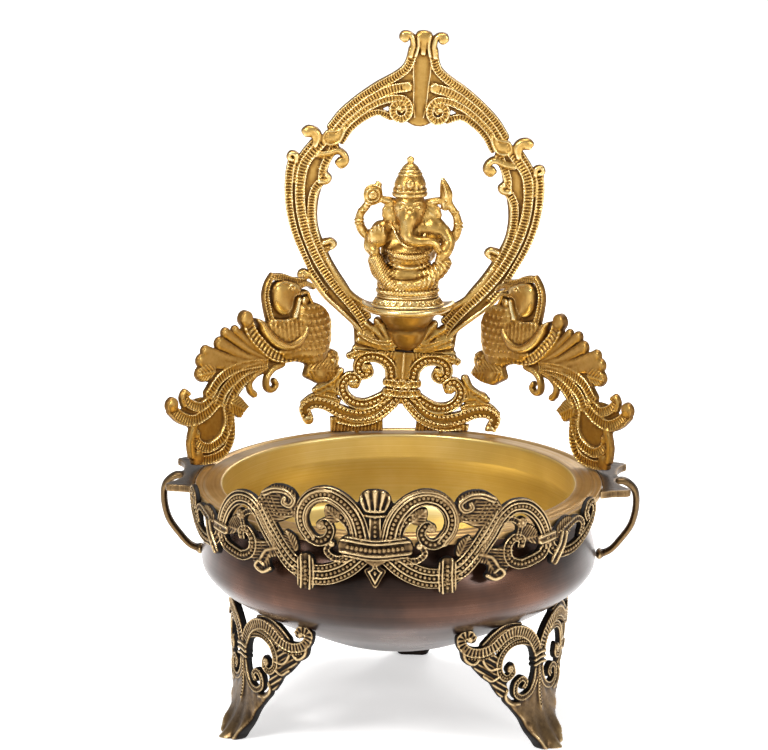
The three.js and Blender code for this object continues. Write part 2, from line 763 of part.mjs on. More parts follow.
// Each bird is a casting drawn in a plane that runs from the end of the panel out to the
// side of the rim. p runs inward from the tail, q is up from the rim.
const tailAngle = THREE.MathUtils.degToRad(peacockTailAngle);
const peacockTailX = (flangeOuterRadius - peacockTailInset) * Math.cos(tailAngle);
const peacockTailY = (flangeOuterRadius - peacockTailInset) * Math.sin(tailAngle);
const peacockHeadX = panelHalfWidth - peacockPanelOverlap;
const peacockHeadY = panelY;
const birdRun = Math.hypot(peacockTailX - peacockHeadX, peacockHeadY - peacockTailY);
const birdP = birdRun / 122.5;
const birdQ = peacockHeight / 125;
const inwardX = (peacockHeadX - peacockTailX) / birdRun;
const inwardY = (peacockHeadY - peacockTailY) / birdRun;

function birdPoints(points) {
  return points.map(([p, q]) => [p * birdP, q * birdQ]);
}

const birdBody = [
  [58, 92], [70, 82], [84, 88], [100, 97], [111, 90], [116, 82], [115, 66],
  [110, 57], [104, 49], [94, 47], [76, 49], [60, 48],
  [48, 42], [34, 46], [36, 60], [40, 70], [33, 82], [31, 95], [36, 98], [48, 94], [54, 84],
];
const birdHead = [
  [57, 92], [53, 103], [52, 112], [55, 119], [59, 125], [69, 122], [81, 117], [90, 116],
  [97, 110], [92, 105], [97, 99], [88, 97], [84, 84], [70, 80],
];
const birdTail = [
  [31, 95], [17, 92], [8, 85], [-4, 81], [-16, 77], [-12, 65],
  [-24, 55], [-38, 57], [-43, 50], [-40, 42], [-32, 34],
  [-17, 23], [-20, 9], [-8, 1], [5, -1], [15, 1], [20, 14],
  [20, 26], [34, 20], [40, 28], [34, 37], [45, 42], [40, 62],
];
const birdFeet = [[93, 52], [112, 52], [127, 46], [129, 42], [123, 35], [113, 27], [101, 30]];

function birdSolid(side) {
  const rule = (p, q, w) => [
    side * (peacockTailX + inwardX * p + inwardY * (w - peacockThickness / 2)),
    peacockTailY + inwardY * p - inwardX * (w - peacockThickness / 2),
    rimHeight + q,
  ];
  const pieces = [
    plate(birdPoints(birdBody), peacockThickness),
    plate(birdPoints(birdHead), peacockThickness - 0.6),
    plate(birdPoints(birdTail), peacockThickness - 1),
    plate(birdPoints(birdFeet), peacockThickness - 0.4),
    ball([birdPoints([[73, 106]])[0][0], birdPoints([[73, 106]])[0][1], peacockThickness / 2], [12, 12, 7.5]),
    ball([birdPoints([[88, 70]])[0][0], birdPoints([[88, 70]])[0][1], peacockThickness / 2], [26, 17, 9]),
  ];
  const solid = pieces
    .map((geometry) => toSolid(bend(geometry, rule), side < 0))
    .reduce((whole, piece) => whole.add(piece));
  return solid.intersect(aboveRim).intersect(figureBehind);
}

addNode(urli, 'peacock_left', toGeometry(birdSolid(-1)), goldBrass);
addNode(urli, 'peacock_right', toGeometry(birdSolid(1)), goldBrass);

export default urli;
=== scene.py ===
import math
import time

import bmesh
import bpy
import numpy as np
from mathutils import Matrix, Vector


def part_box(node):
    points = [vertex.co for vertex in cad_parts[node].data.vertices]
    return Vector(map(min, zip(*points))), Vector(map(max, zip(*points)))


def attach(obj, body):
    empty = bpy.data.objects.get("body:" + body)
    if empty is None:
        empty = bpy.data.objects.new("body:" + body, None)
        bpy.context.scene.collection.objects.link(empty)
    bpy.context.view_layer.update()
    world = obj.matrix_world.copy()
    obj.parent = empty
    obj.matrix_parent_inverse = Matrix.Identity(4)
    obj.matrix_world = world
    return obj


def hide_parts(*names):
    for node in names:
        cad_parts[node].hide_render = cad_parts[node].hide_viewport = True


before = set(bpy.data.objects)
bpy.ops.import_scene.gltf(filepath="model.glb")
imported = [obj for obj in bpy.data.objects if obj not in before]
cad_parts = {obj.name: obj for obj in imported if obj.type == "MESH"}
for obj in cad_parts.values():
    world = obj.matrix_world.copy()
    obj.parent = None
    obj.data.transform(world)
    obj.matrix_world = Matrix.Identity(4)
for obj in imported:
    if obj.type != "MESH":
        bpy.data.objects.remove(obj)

import openvdb
from mathutils import Matrix, Vector

# A cast brass urli: wide bowl on three openwork legs, side handles, a beaded frieze across
# the front of the rim, and a back panel with an arch, a seated figure and two peacocks.
# Castings are drawn in millimetres as flat reliefs, then bent round the bowl.

startTime = time.time()
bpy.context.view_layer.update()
mm = 0.001
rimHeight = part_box("bowl")[1][2] / mm
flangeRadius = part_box("bowl")[1][0] / mm


def report(stage):
    print(f"{time.time() - startTime:6.1f} s  {stage}")


def linearColour(hexText, alpha=1.0):
    values = [int(hexText[i:i + 2], 16) / 255 for i in (1, 3, 5)]
    return tuple(v / 12.92 if v <= 0.04045 else ((v + 0.055) / 1.055) ** 2.4 for v in values) + (alpha,)


def addNode(tree, kind, settings=None, inputs=None, links=None):
    node = tree.nodes.new(kind)
    for key, value in (settings or {}).items():
        setattr(node, key, value)
    for key, value in (inputs or {}).items():
        node.inputs[key].default_value = value
    for key, socket in (links or {}).items():
        tree.links.new(socket, node.inputs[key])
    return node


def newMaterial(name):
    material = bpy.data.materials.new(name)
    material.use_nodes = True
    tree = material.node_tree
    tree.nodes.clear()
    shader = addNode(tree, "ShaderNodeBsdfPrincipled")
    addNode(tree, "ShaderNodeOutputMaterial", links={"Surface": shader.outputs[0]})
    return material, tree, shader


def colourRamp(tree, factor, stops, interpolation="LINEAR"):
    ramp = addNode(tree, "ShaderNodeValToRGB", links={"Fac": factor})
    ramp.color_ramp.interpolation = interpolation
    elements = ramp.color_ramp.elements
    while len(elements) > len(stops):
        elements.remove(elements[-1])
    while len(elements) < len(stops):
        elements.new(1.0)
    for element, (place, colour) in zip(elements, stops):
        element.position = place
        element.color = linearColour(colour) if isinstance(colour, str) else (colour, colour, colour, 1.0)
    return ramp


# Cast brass or bronze with patina left in the recesses and bright metal where cloth rubs it.
# The piece's own "relief" attribute says how proud each point stands: 0 deep, 1 high.
def castMaterial(name, look):
    material, tree, shader = newMaterial(name)
    coords = addNode(tree, "ShaderNodeTexCoord")
    relief = addNode(tree, "ShaderNodeAttribute", {"attribute_type": "GEOMETRY", "attribute_name": "relief"})
    grime = addNode(tree, "ShaderNodeTexNoise", inputs={"Scale": 1000 / look["grimeSize"], "Detail": 5.0,
                    "Roughness": 0.6}, links={"Vector": coords.outputs["Object"]})
    broad = addNode(tree, "ShaderNodeTexNoise", inputs={"Scale": 1000 / look["cloudSize"], "Detail": 3.0},
                    links={"Vector": coords.outputs["Object"]})
    shift = addNode(tree, "ShaderNodeMath", {"operation": "MULTIPLY_ADD"},
                    {1: look["grimeAmount"], 2: -look["grimeAmount"] / 2},
                    {0: grime.outputs["Fac"]})
    cloud = addNode(tree, "ShaderNodeMath", {"operation": "MULTIPLY_ADD"},
                    {1: look["cloudAmount"], 2: -look["cloudAmount"] / 2},
                    {0: broad.outputs["Fac"]})
    worn = addNode(tree, "ShaderNodeMath", {"operation": "ADD"},
                   links={0: relief.outputs["Fac"], 1: shift.outputs[0]})
    level = addNode(tree, "ShaderNodeMath", {"operation": "ADD", "use_clamp": True},
                    links={0: worn.outputs[0], 1: cloud.outputs[0]})
    colour = colourRamp(tree, level.outputs[0], look["colours"])
    rough = colourRamp(tree, level.outputs[0], look["roughness"])
    metal = colourRamp(tree, level.outputs[0], look["metallic"])
    tree.links.new(colour.outputs["Color"], shader.inputs["Base Color"])
    tree.links.new(rough.outputs["Color"], shader.inputs["Roughness"])
    tree.links.new(metal.outputs["Color"], shader.inputs["Metallic"])
    grain = addNode(tree, "ShaderNodeTexNoise",
                    inputs={"Scale": 1000 / look["sandSize"], "Detail": 3.0, "Roughness": 0.65},
                    links={"Vector": coords.outputs["Object"]})
    bump = addNode(tree, "ShaderNodeBump", inputs={"Strength": look["sandStrength"], "Distance": 0.0003},
                   links={"Height": grain.outputs["Fac"]})
    tree.links.new(bump.outputs["Normal"], shader.inputs["Normal"])
    return material


# Warm gold on the high places, brown in the cuts, so that every rib and bead reads
goldLook = {
    "colours": [(0.0, "#1d1006"), (0.26, "#593b16"), (0.5, "#9b7436"), (0.74, "#c8a25b"), (1.0, "#eedaa6")],
    "roughness": [(0.0, 0.6), (0.5, 0.34), (1.0, 0.2)],
    "metallic": [(0.0, 0.45), (0.35, 0.9), (1.0, 1.0)],
    "grimeSize": 3.0, "grimeAmount": 0.22, "cloudSize": 30.0, "cloudAmount": 0.16,
    "sandSize": 0.9, "sandStrength": 0.35,
}
# Nearly black in the cuts with a dull straw glint on rubbed edges, darker than the gold above it
bronzeLook = {
    "colours": [(0.0, "#070403"), (0.4, "#170e08"), (0.58, "#40301e"), (0.8, "#7c6342"), (1.0, "#bda47a")],
    "roughness": [(0.0, 0.65), (0.5, 0.4), (1.0, 0.26)],
    "metallic": [(0.0, 0.4), (0.35, 0.85), (1.0, 1.0)],
    "grimeSize": 3.0, "grimeAmount": 0.22, "cloudSize": 34.0, "cloudAmount": 0.2,
    "sandSize": 0.9, "sandStrength": 0.35,
}
antiqueGold = castMaterial("antique_gold_brass", goldLook)
darkBronze = castMaterial("dark_antique_bronze", bronzeLook)


# Even samples along a smooth line through given points, with the direction at each
def smoothPath(points, spacing=0.5, closed=False):
    knots = [np.array(point, float) for point in points]
    if closed:
        knots = [knots[-1]] + knots + knots[:2]
    else:
        knots = [2 * knots[0] - knots[1]] + knots + [2 * knots[-1] - knots[-2]]
    line = []
    for i in range(1, len(knots) - 2):
        p0, p1, p2, p3 = knots[i - 1:i + 3]
        t0 = 0.0
        t1 = t0 + np.linalg.norm(p1 - p0) ** 0.5
        t2 = t1 + np.linalg.norm(p2 - p1) ** 0.5
        t3 = t2 + np.linalg.norm(p3 - p2) ** 0.5
        t = np.linspace(t1, t2, 20, endpoint=False)[:, None]
        a1 = (t1 - t) / (t1 - t0) * p0 + (t - t0) / (t1 - t0) * p1
        a2 = (t2 - t) / (t2 - t1) * p1 + (t - t1) / (t2 - t1) * p2
        a3 = (t3 - t) / (t3 - t2) * p2 + (t - t2) / (t3 - t2) * p3
        b1 = (t2 - t) / (t2 - t0) * a1 + (t - t0) / (t2 - t0) * a2
        b2 = (t3 - t) / (t3 - t1) * a2 + (t - t1) / (t3 - t1) * a3
        line.append((t2 - t) / (t2 - t1) * b1 + (t - t1) / (t2 - t1) * b2)
    line = np.vstack(line + [knots[-2][None]])
    steps = np.linalg.norm(np.diff(line, axis=0), axis=1)
    along = np.concatenate([[0], np.cumsum(steps)])
    places = np.linspace(0, along[-1], max(3, int(round(along[-1] / spacing)) + 1))
    samples = np.stack([np.interp(places, along, line[:, k]) for k in range(line.shape[1])], axis=1)
    ahead = np.gradient(samples, axis=0)
    ahead /= np.linalg.norm(ahead, axis=1)[:, None] + 1e-9
    return samples, ahead, places


def mirrored(points):
    return [(-u, v) for u, v in points]


def stripes(coordinate, pitch, depth):
    return depth * np.cos(2 * math.pi * coordinate / pitch)


def crowned(depth, reach, rise):
    return rise * np.sqrt(np.clip(1 - (1 - np.clip(depth / reach, 0, 1)) ** 2, 0, 1))


# A leaf: crowned, with a raised midrib from start to end and slanting veins on both sides
def leafRule(start, end, pitch=2.6, depth=0.4, rise=1.0, reach=3.0, fold=True):
    start, end = np.array(start, float), np.array(end, float)
    ahead = (end - start) / np.linalg.norm(end - start)

    def rule(u, v, d):
        x = (np.abs(u) if fold else u) - start[0]
        y = v - start[1]
        along, across = x * ahead[0] + y * ahead[1], np.abs(y * ahead[0] - x * ahead[1])
        veins = stripes(along - 0.9 * across, pitch, depth) * np.clip(across / 1.2, 0, 1)
        return crowned(d, reach, rise) + veins + 0.5 * np.exp(-(across / 0.7) ** 2)
    return rule


# A flat casting drawn as a height over a fine grid. Everything is in millimetres.
class Relief:
    def __init__(self, low, high, cell):
        self.low, self.cell = np.array(low, float), cell
        self.size = np.ceil((np.array(high) - self.low) / cell).astype(int) + 1
        self.inside = np.full(self.size, -4.0)
        self.height = np.zeros(self.size)
        self.rows = []

    def window(self, points, margin):
        points = np.asarray(points, float)
        first = np.clip(((points.min(0) - margin - self.low) / self.cell).astype(int), 0, self.size - 1)
        last = np.clip(((points.max(0) + margin - self.low) / self.cell).astype(int) + 2, 1, self.size)
        u = self.low[0] + np.arange(first[0], last[0]) * self.cell
        v = self.low[1] + np.arange(first[1], last[1]) * self.cell
        return (slice(first[0], last[0]), slice(first[1], last[1])), *np.meshgrid(u, v, indexing="ij")

    def put(self, place, within, height, edge=1.1, drop=1.7):
        lowered = height - drop * np.clip(1 - within / edge, 0, 1) ** 2
        old = self.height[place]
        self.height[place] = np.where(within > -self.cell, np.maximum(old, lowered), old)
        self.inside[place] = np.maximum(self.inside[place], within)

    # A band along a line. Ribs are (place across -1..1, half width in mm, rise in mm);
    # lines cut across it are (spacing, depth).
    def band(self, points, width, height, ribs=(), endWidth=None, cuts=None, edge=1.1, drop=1.7, teeth=0.0):
        samples, ahead, along = smoothPath(points)
        share = along / along[-1]
        half = (width + ((endWidth or width) - width) * share) / 2
        place, u, v = self.window(samples, half.max() + 1.5)
        flat = np.stack([u.ravel(), v.ravel()], axis=1)
        best = np.full(len(flat), 1e9)
        index = np.zeros(len(flat), int)
        for start in range(0, len(samples), 64):
            part = samples[start:start + 64]
            gap = ((flat[:, None, :] - part[None]) ** 2).sum(2)
            nearest = gap.argmin(1)
            value = gap[np.arange(len(flat)), nearest]
            better = value < best
            best = np.where(better, value, best)
            index = np.where(better, nearest + start, index)
        offset = flat - samples[index]
        side = ahead[index, 0] * offset[:, 1] - ahead[index, 1] * offset[:, 0]
        forward = (ahead[index] * offset).sum(1)
        inner = (index > 0) & (index < len(samples) - 1)
        reach = np.where(inner, np.abs(side), np.sqrt(best))
        across = side / half[index]
        within = half[index] - reach
        rise = np.full(len(flat), float(height))
        for centre, halfWidth, lift in ribs:
            away = np.clip(np.abs(side - centre * half[index]) / halfWidth, 0, 1)
            rise += lift * np.sqrt(1 - away ** 2) if lift > 0 else lift * (1 - away ** 2)
        if cuts:
            phase = (along[index] + forward + cuts[2] * np.abs(side)
                     if len(cuts) > 2 else along[index] + forward)
            wave = 0.5 + 0.5 * np.cos(2 * np.pi * phase / cuts[0])
            rise -= cuts[1] * wave ** 2 * np.clip(1.15 - np.abs(across), 0, 1)
            within = within - teeth * wave ** 2
        self.put(place, within.reshape(u.shape), rise.reshape(u.shape), edge, drop)

    # A band with a raised line along each edge and rows of beads in the trough between them
    def scroll(self, points, width, height, rows=(0,), bead=1.0, endWidth=None, line=0.8):
        place = 1 - 2 * line / width
        self.band(points, width, height - 0.9, [(-place, line, 1.4), (place, line, 1.4)], endWidth)
        for across in rows:
            self.rows.append((points, across, height - 0.65, bead))

    # A band with a raised line along each edge and short cross ribs between them
    def ribbed(self, points, width, height, pitch=1.9, depth=1.3, endWidth=None, line=0.7, slant=0.0):
        place = 1 - 2 * line / width
        self.band(points, width, height + 0.2, [(-place, line, 0.9), (place, line, 0.9)], endWidth,
                  (pitch, depth, slant))

    # A wide band with raised lines at set shares of its width and bead rows at others
    def channel(self, points, width, height, lines, rows, bead=1.1, endWidth=None, line=0.75):
        self.band(points, width, height - 0.9, [(place, line, 1.4) for place in lines], endWidth)
        for share in rows:
            self.rows.append((points, share * min(width, endWidth or width) / 2, height - 0.6, bead))

    # A plate with a listed outline, its height given by a rule of u, v and depth inside
    def plate(self, outline, height, rule=None, edge=1.1, drop=1.7, smooth=True):
        line = smoothPath(outline, 0.8, True)[0] if smooth else np.array(list(outline) + [outline[0]], float)
        place, u, v = self.window(line, 1.5)
        flat = np.stack([u.ravel(), v.ravel()], axis=1)
        best = np.full(len(flat), 1e9)
        odd = np.zeros(len(flat), bool)
        for a, b in zip(line[:-1], line[1:]):
            span = b - a
            t = np.clip(((flat - a) @ span) / (span @ span + 1e-12), 0, 1)
            best = np.minimum(best, ((flat - a - t[:, None] * span) ** 2).sum(1))
            crosses = (a[1] > flat[:, 1]) != (b[1] > flat[:, 1])
            with np.errstate(divide="ignore", invalid="ignore"):
                meet = a[0] + (flat[:, 1] - a[1]) * span[0] / (span[1] if span[1] else 1e-12)
            odd ^= crosses & (flat[:, 0] < meet)
        within = np.where(odd, 1, -1) * np.sqrt(best)
        rise = np.full(len(flat), float(height)) if rule is None else height + rule(flat[:, 0], flat[:, 1],
                within)
        self.put(place, within.reshape(u.shape), rise.reshape(u.shape), edge, drop)

    def dome(self, centre, radius, height, rise, petals=0, depth=0.5):
        place, u, v = self.window([centre], radius + 1.5)
        away = np.hypot(u - centre[0], v - centre[1])
        within = radius - away
        top = height + rise * np.sqrt(np.clip(1 - (away / radius) ** 2, 0, 1))
        if petals:
            turn = np.arctan2(v - centre[1], u - centre[0])
            top -= depth * np.clip(np.abs(np.sin(turn * petals / 2)) * away / radius, 0,
                                   1) ** 0.5 * (away > radius * 0.3)
            top -= depth * np.exp(-((away / radius - 0.34) / 0.1) ** 2)
        self.put(place, within, top, 0.8, 1.2)

def boxBlur(values, radius):
    out = values.astype(float)
    for axis in (0, 1):
        padded = np.concatenate([np.repeat(out.take([0], axis), radius + 1, axis), out,
                                 np.repeat(out.take([-1], axis), radius, axis)], axis)
        total = np.cumsum(padded, axis)
        count = 2 * radius + 1
        size = out.shape[axis]
        out = (total.take(range(count, count + size), axis) - total.take(range(size), axis)) / count
    return out


def sampleGrid(grid, places):
    places = np.clip(places, 0, np.array(grid.shape) - 1.001)
    base = places.astype(int)
    part = places - base
    i, j = base[:, 0], base[:, 1]
    return ((grid[i, j] * (1 - part[:, 0]) + grid[i + 1, j] * part[:, 0]) * (1 - part[:, 1])
            + (grid[i, j + 1] * (1 - part[:, 0]) + grid[i + 1, j + 1] * part[:, 0]) * part[:, 1])


# Turns a field that is positive inside the metal into points and faces
def skin(field, low, cell, adaptivity):
    grid = openvdb.FloatGrid(background=3 * cell)
    grid.copyFromArray(-np.clip(field, -3 * cell, 3 * cell).astype(np.float32))
    points, triangles, quads = grid.convertToPolygons(isovalue=0.0, adaptivity=adaptivity)
    return points * cell + np.array(low), triangles, quads


def meshFrom(name, points, triangles, quads, attributes, material):
    mesh = bpy.data.meshes.new(name)
    faceSizes = np.concatenate([np.full(len(triangles), 3), np.full(len(quads), 4)]).astype(np.int32)
    corners = np.concatenate([np.asarray(triangles).ravel(), np.asarray(quads).ravel()]).astype(np.int32)
    mesh.vertices.add(len(points))
    mesh.vertices.foreach_set("co", (points * mm).astype(np.float32).ravel())
    mesh.loops.add(len(corners))
    mesh.loops.foreach_set("vertex_index", corners)
    mesh.polygons.add(len(faceSizes))
    mesh.polygons.foreach_set("loop_start", np.concatenate([[0], np.cumsum(faceSizes)[:-1]]).astype(np.int32))
    mesh.polygons.foreach_set("use_smooth", np.ones(len(faceSizes), bool))
    for key, values in attributes.items():
        layer = mesh.attributes.new(key, "FLOAT", "POINT")
        layer.data.foreach_set("value", np.clip(values, 0, 1).astype(np.float32))
    mesh.update(calc_edges=True)
    mesh.validate()
    faceOut(mesh)
    mesh.materials.append(material)
    piece = bpy.data.objects.new(name, mesh)
    bpy.context.scene.collection.objects.link(piece)
    return piece


# Turns every face over if the closed surface is inside out
def faceOut(mesh):
    mesh.calc_loop_triangles()
    count = len(mesh.loop_triangles)
    index = np.empty(count * 3, np.int32)
    mesh.loop_triangles.foreach_get("vertices", index)
    points = np.empty(len(mesh.vertices) * 3, np.float32)
    mesh.vertices.foreach_get("co", points)
    a, b, c = points.reshape(-1, 3)[index].reshape(-1, 3, 3).transpose(1, 0, 2).astype(float)
    if (a * np.cross(b, c)).sum() < 0:
        mesh.flip_normals()


# Builds the solid of a relief and bends it into place by a rule from u, v, w to x, y, z.
# A two-sided casting has its height counted both ways from its middle plane.
def castRelief(name, sheet, rule, material, nodes, adaptivity=0.2, reach=1.8, gain=0.7,
               back=None, sideLevel=0.05, cut=None, tint=None):
    cell = sheet.cell
    top = max(1.0, sheet.height.max())
    bottom = 0.0 if back is None else -back.max()
    layers = int(math.ceil((top - bottom) / cell)) + 6
    w = bottom - 3 * cell + np.arange(layers) * cell
    around = max(1, int(round(reach / cell)))
    solidPart = np.clip(sheet.inside / 0.6 + 0.5, 0, 1)
    mean = boxBlur(sheet.height * solidPart, around) / (boxBlur(solidPart, around) + 0.05)
    if back is not None:
        field = np.minimum(sheet.inside[:, :, None], sheet.height[:, :, None] - w[None, None, :])
        field = np.minimum(field, w[None, None, :] + back[:, :, None])
    else:
        field = np.minimum(sheet.inside[:, :, None], sheet.height[:, :, None] - w[None, None, :])
        rounded = w[None, None, :] - 0.8 * np.clip(1 - sheet.inside / 1.2, 0, 1)[:, :, None] ** 2
        field = np.minimum(field, rounded)
    if cut is not None:
        u = sheet.low[0] + np.arange(sheet.size[0]) * cell
        v = sheet.low[1] + np.arange(sheet.size[1]) * cell
        field = np.minimum(field, cut(u[:, None, None], v[None, :, None], w[None, None, :]))
    low = [sheet.low[0], sheet.low[1], w[0]]
    points, triangles, quads = skin(field, low, cell, adaptivity)
    places = (points[:, :2] - sheet.low) / cell
    around = sampleGrid(mean, places)
    relief = np.maximum(sideLevel, 0.5 + (points[:, 2] - around) * gain)
    if tint is not None:
        relief = relief + tint(points[:, 0], points[:, 1])
    backFace = 0 if back is None else -sampleGrid(back, places)
    behind = np.clip(1.6 - (points[:, 2] - backFace), 0, 1) * np.clip(sampleGrid(sheet.inside, places) - 0.4,
            0, 1)
    relief = relief + (0.4 - relief) * behind
    piece = meshFrom(name, rule(points), triangles, quads, {"relief": relief}, material)
    return finishPiece(piece, nodes)


def finishPiece(piece, nodes):
    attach(piece, "root")
    if nodes:
        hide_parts(*nodes)
    return piece


def newTree(name, inputs):
    tree = bpy.data.node_groups.new(name, "GeometryNodeTree")
    tree.interface.new_socket("Geometry", in_out="INPUT", socket_type="NodeSocketGeometry")
    for label, kind, value in inputs:
        socket = tree.interface.new_socket(label, in_out="INPUT", socket_type=kind)
        if value is not None:
            socket.default_value = value
    tree.interface.new_socket("Geometry", in_out="OUTPUT", socket_type="NodeSocketGeometry")
    return tree, tree.nodes.new("NodeGroupInput"), tree.nodes.new("NodeGroupOutput")


def runTree(name, source, tree, values):
    modifier = source.modifiers.new("build", "NODES")
    modifier.node_group = tree
    for item in tree.interface.items_tree:
        if item.item_type == "SOCKET" and item.in_out == "INPUT" and item.name in values:
            modifier[item.identifier] = values[item.name]
    bpy.context.view_layer.update()
    shaped = source.evaluated_get(bpy.context.evaluated_depsgraph_get())
    mesh = bpy.data.meshes.new_from_object(shaped)
    mesh.name = name
    piece = bpy.data.objects.new(name, mesh)
    bpy.context.scene.collection.objects.link(piece)
    source.modifiers.remove(modifier)
    bpy.data.objects.remove(source)
    return piece


# Beads set at an even pitch along every spline; a point's radius is the bead's radius
def beadTree():
    tree, start, end = newTree("beadRows",
                               [("Pitch", "NodeSocketFloat", 0.002), ("Rings", "NodeSocketInt", 5),
                                            ("Segments", "NodeSocketInt", 8),
                                            ("Metal", "NodeSocketMaterial", None)])
    even = addNode(tree, "GeometryNodeResampleCurve", {"mode": "LENGTH"},
                   links={"Curve": start.outputs["Geometry"], "Length": start.outputs["Pitch"]})
    bead = addNode(tree, "GeometryNodeMeshUVSphere", inputs={"Radius": 1.0},
                   links={"Segments": start.outputs["Segments"], "Rings": start.outputs["Rings"]})
    size = addNode(tree, "GeometryNodeInputRadius")
    rows = addNode(tree, "GeometryNodeInstanceOnPoints",
                   links={"Points": even.outputs[0], "Instance": bead.outputs["Mesh"],
                          "Scale": size.outputs[0]})
    real = addNode(tree, "GeometryNodeRealizeInstances", links={"Geometry": rows.outputs[0]})
    smooth = addNode(tree, "GeometryNodeSetShadeSmooth", links={"Geometry": real.outputs[0]})
    metal = addNode(tree, "GeometryNodeSetMaterial",
                    links={"Geometry": smooth.outputs[0], "Material": start.outputs["Metal"]})
    tree.links.new(metal.outputs[0], end.inputs["Geometry"])
    return tree


beadNodes = beadTree()


# rows: (given path, place across in mm, height of bead centre, bead radius)
def beadRows(name, rows, rule, outward, pitch, material):
    curve = bpy.data.curves.new(name, "CURVE")
    curve.dimensions = "3D"
    for path, across, height, radius in rows:
        samples, ahead, _ = smoothPath(path, 0.6)
        shifted = samples + across * np.stack([-ahead[:, 1], ahead[:, 0]], axis=1)
        flat = np.column_stack([shifted, np.full(len(shifted), height)])
        spline = curve.splines.new("POLY")
        spline.points.add(len(flat) - 1)
        for point, place in zip(spline.points, rule(flat)):
            point.co = (*(place * mm), 1)
            point.radius = radius * mm
    source = bpy.data.objects.new(name + "Path", curve)
    bpy.context.scene.collection.objects.link(source)
    piece = runTree(name, source, beadNodes, {"Pitch": pitch * mm, "Metal": material})
    mesh = piece.data
    count = len(mesh.vertices)
    normals = np.empty(count * 3, np.float32)
    points = np.empty(count * 3, np.float32)
    mesh.vertices.foreach_get("normal", normals)
    mesh.vertices.foreach_get("co", points)
    facing = (normals.reshape(-1, 3) * outward(points.reshape(-1, 3) / mm)).sum(1)
    layer = mesh.attributes.new("relief", "FLOAT", "POINT")
    layer.data.foreach_set("value", np.clip(0.42 + 0.5 * facing, 0, 1).astype(np.float32))
    return finishPiece(piece, [])


frieze = {
    "thickness": 4.4, "gap": 0.4, "clock": -3.6, "cell": 0.5, "pitch": 2.9,
}
friezeRadius = flangeRadius + frieze["gap"]


def bendFrieze(points):
    points = np.asarray(points, float)
    angle = points[:, 0] / (friezeRadius + frieze["thickness"] / 2) + math.radians(frieze["clock"])
    r = friezeRadius + points[:, 2]
    return np.column_stack([r * np.sin(angle), -r * np.cos(angle), rimHeight + points[:, 1]])


def outFromAxis(points):
    flat = points * np.array([1, 1, 0])
    return flat / (np.linalg.norm(flat, axis=1)[:, None] + 1e-9)


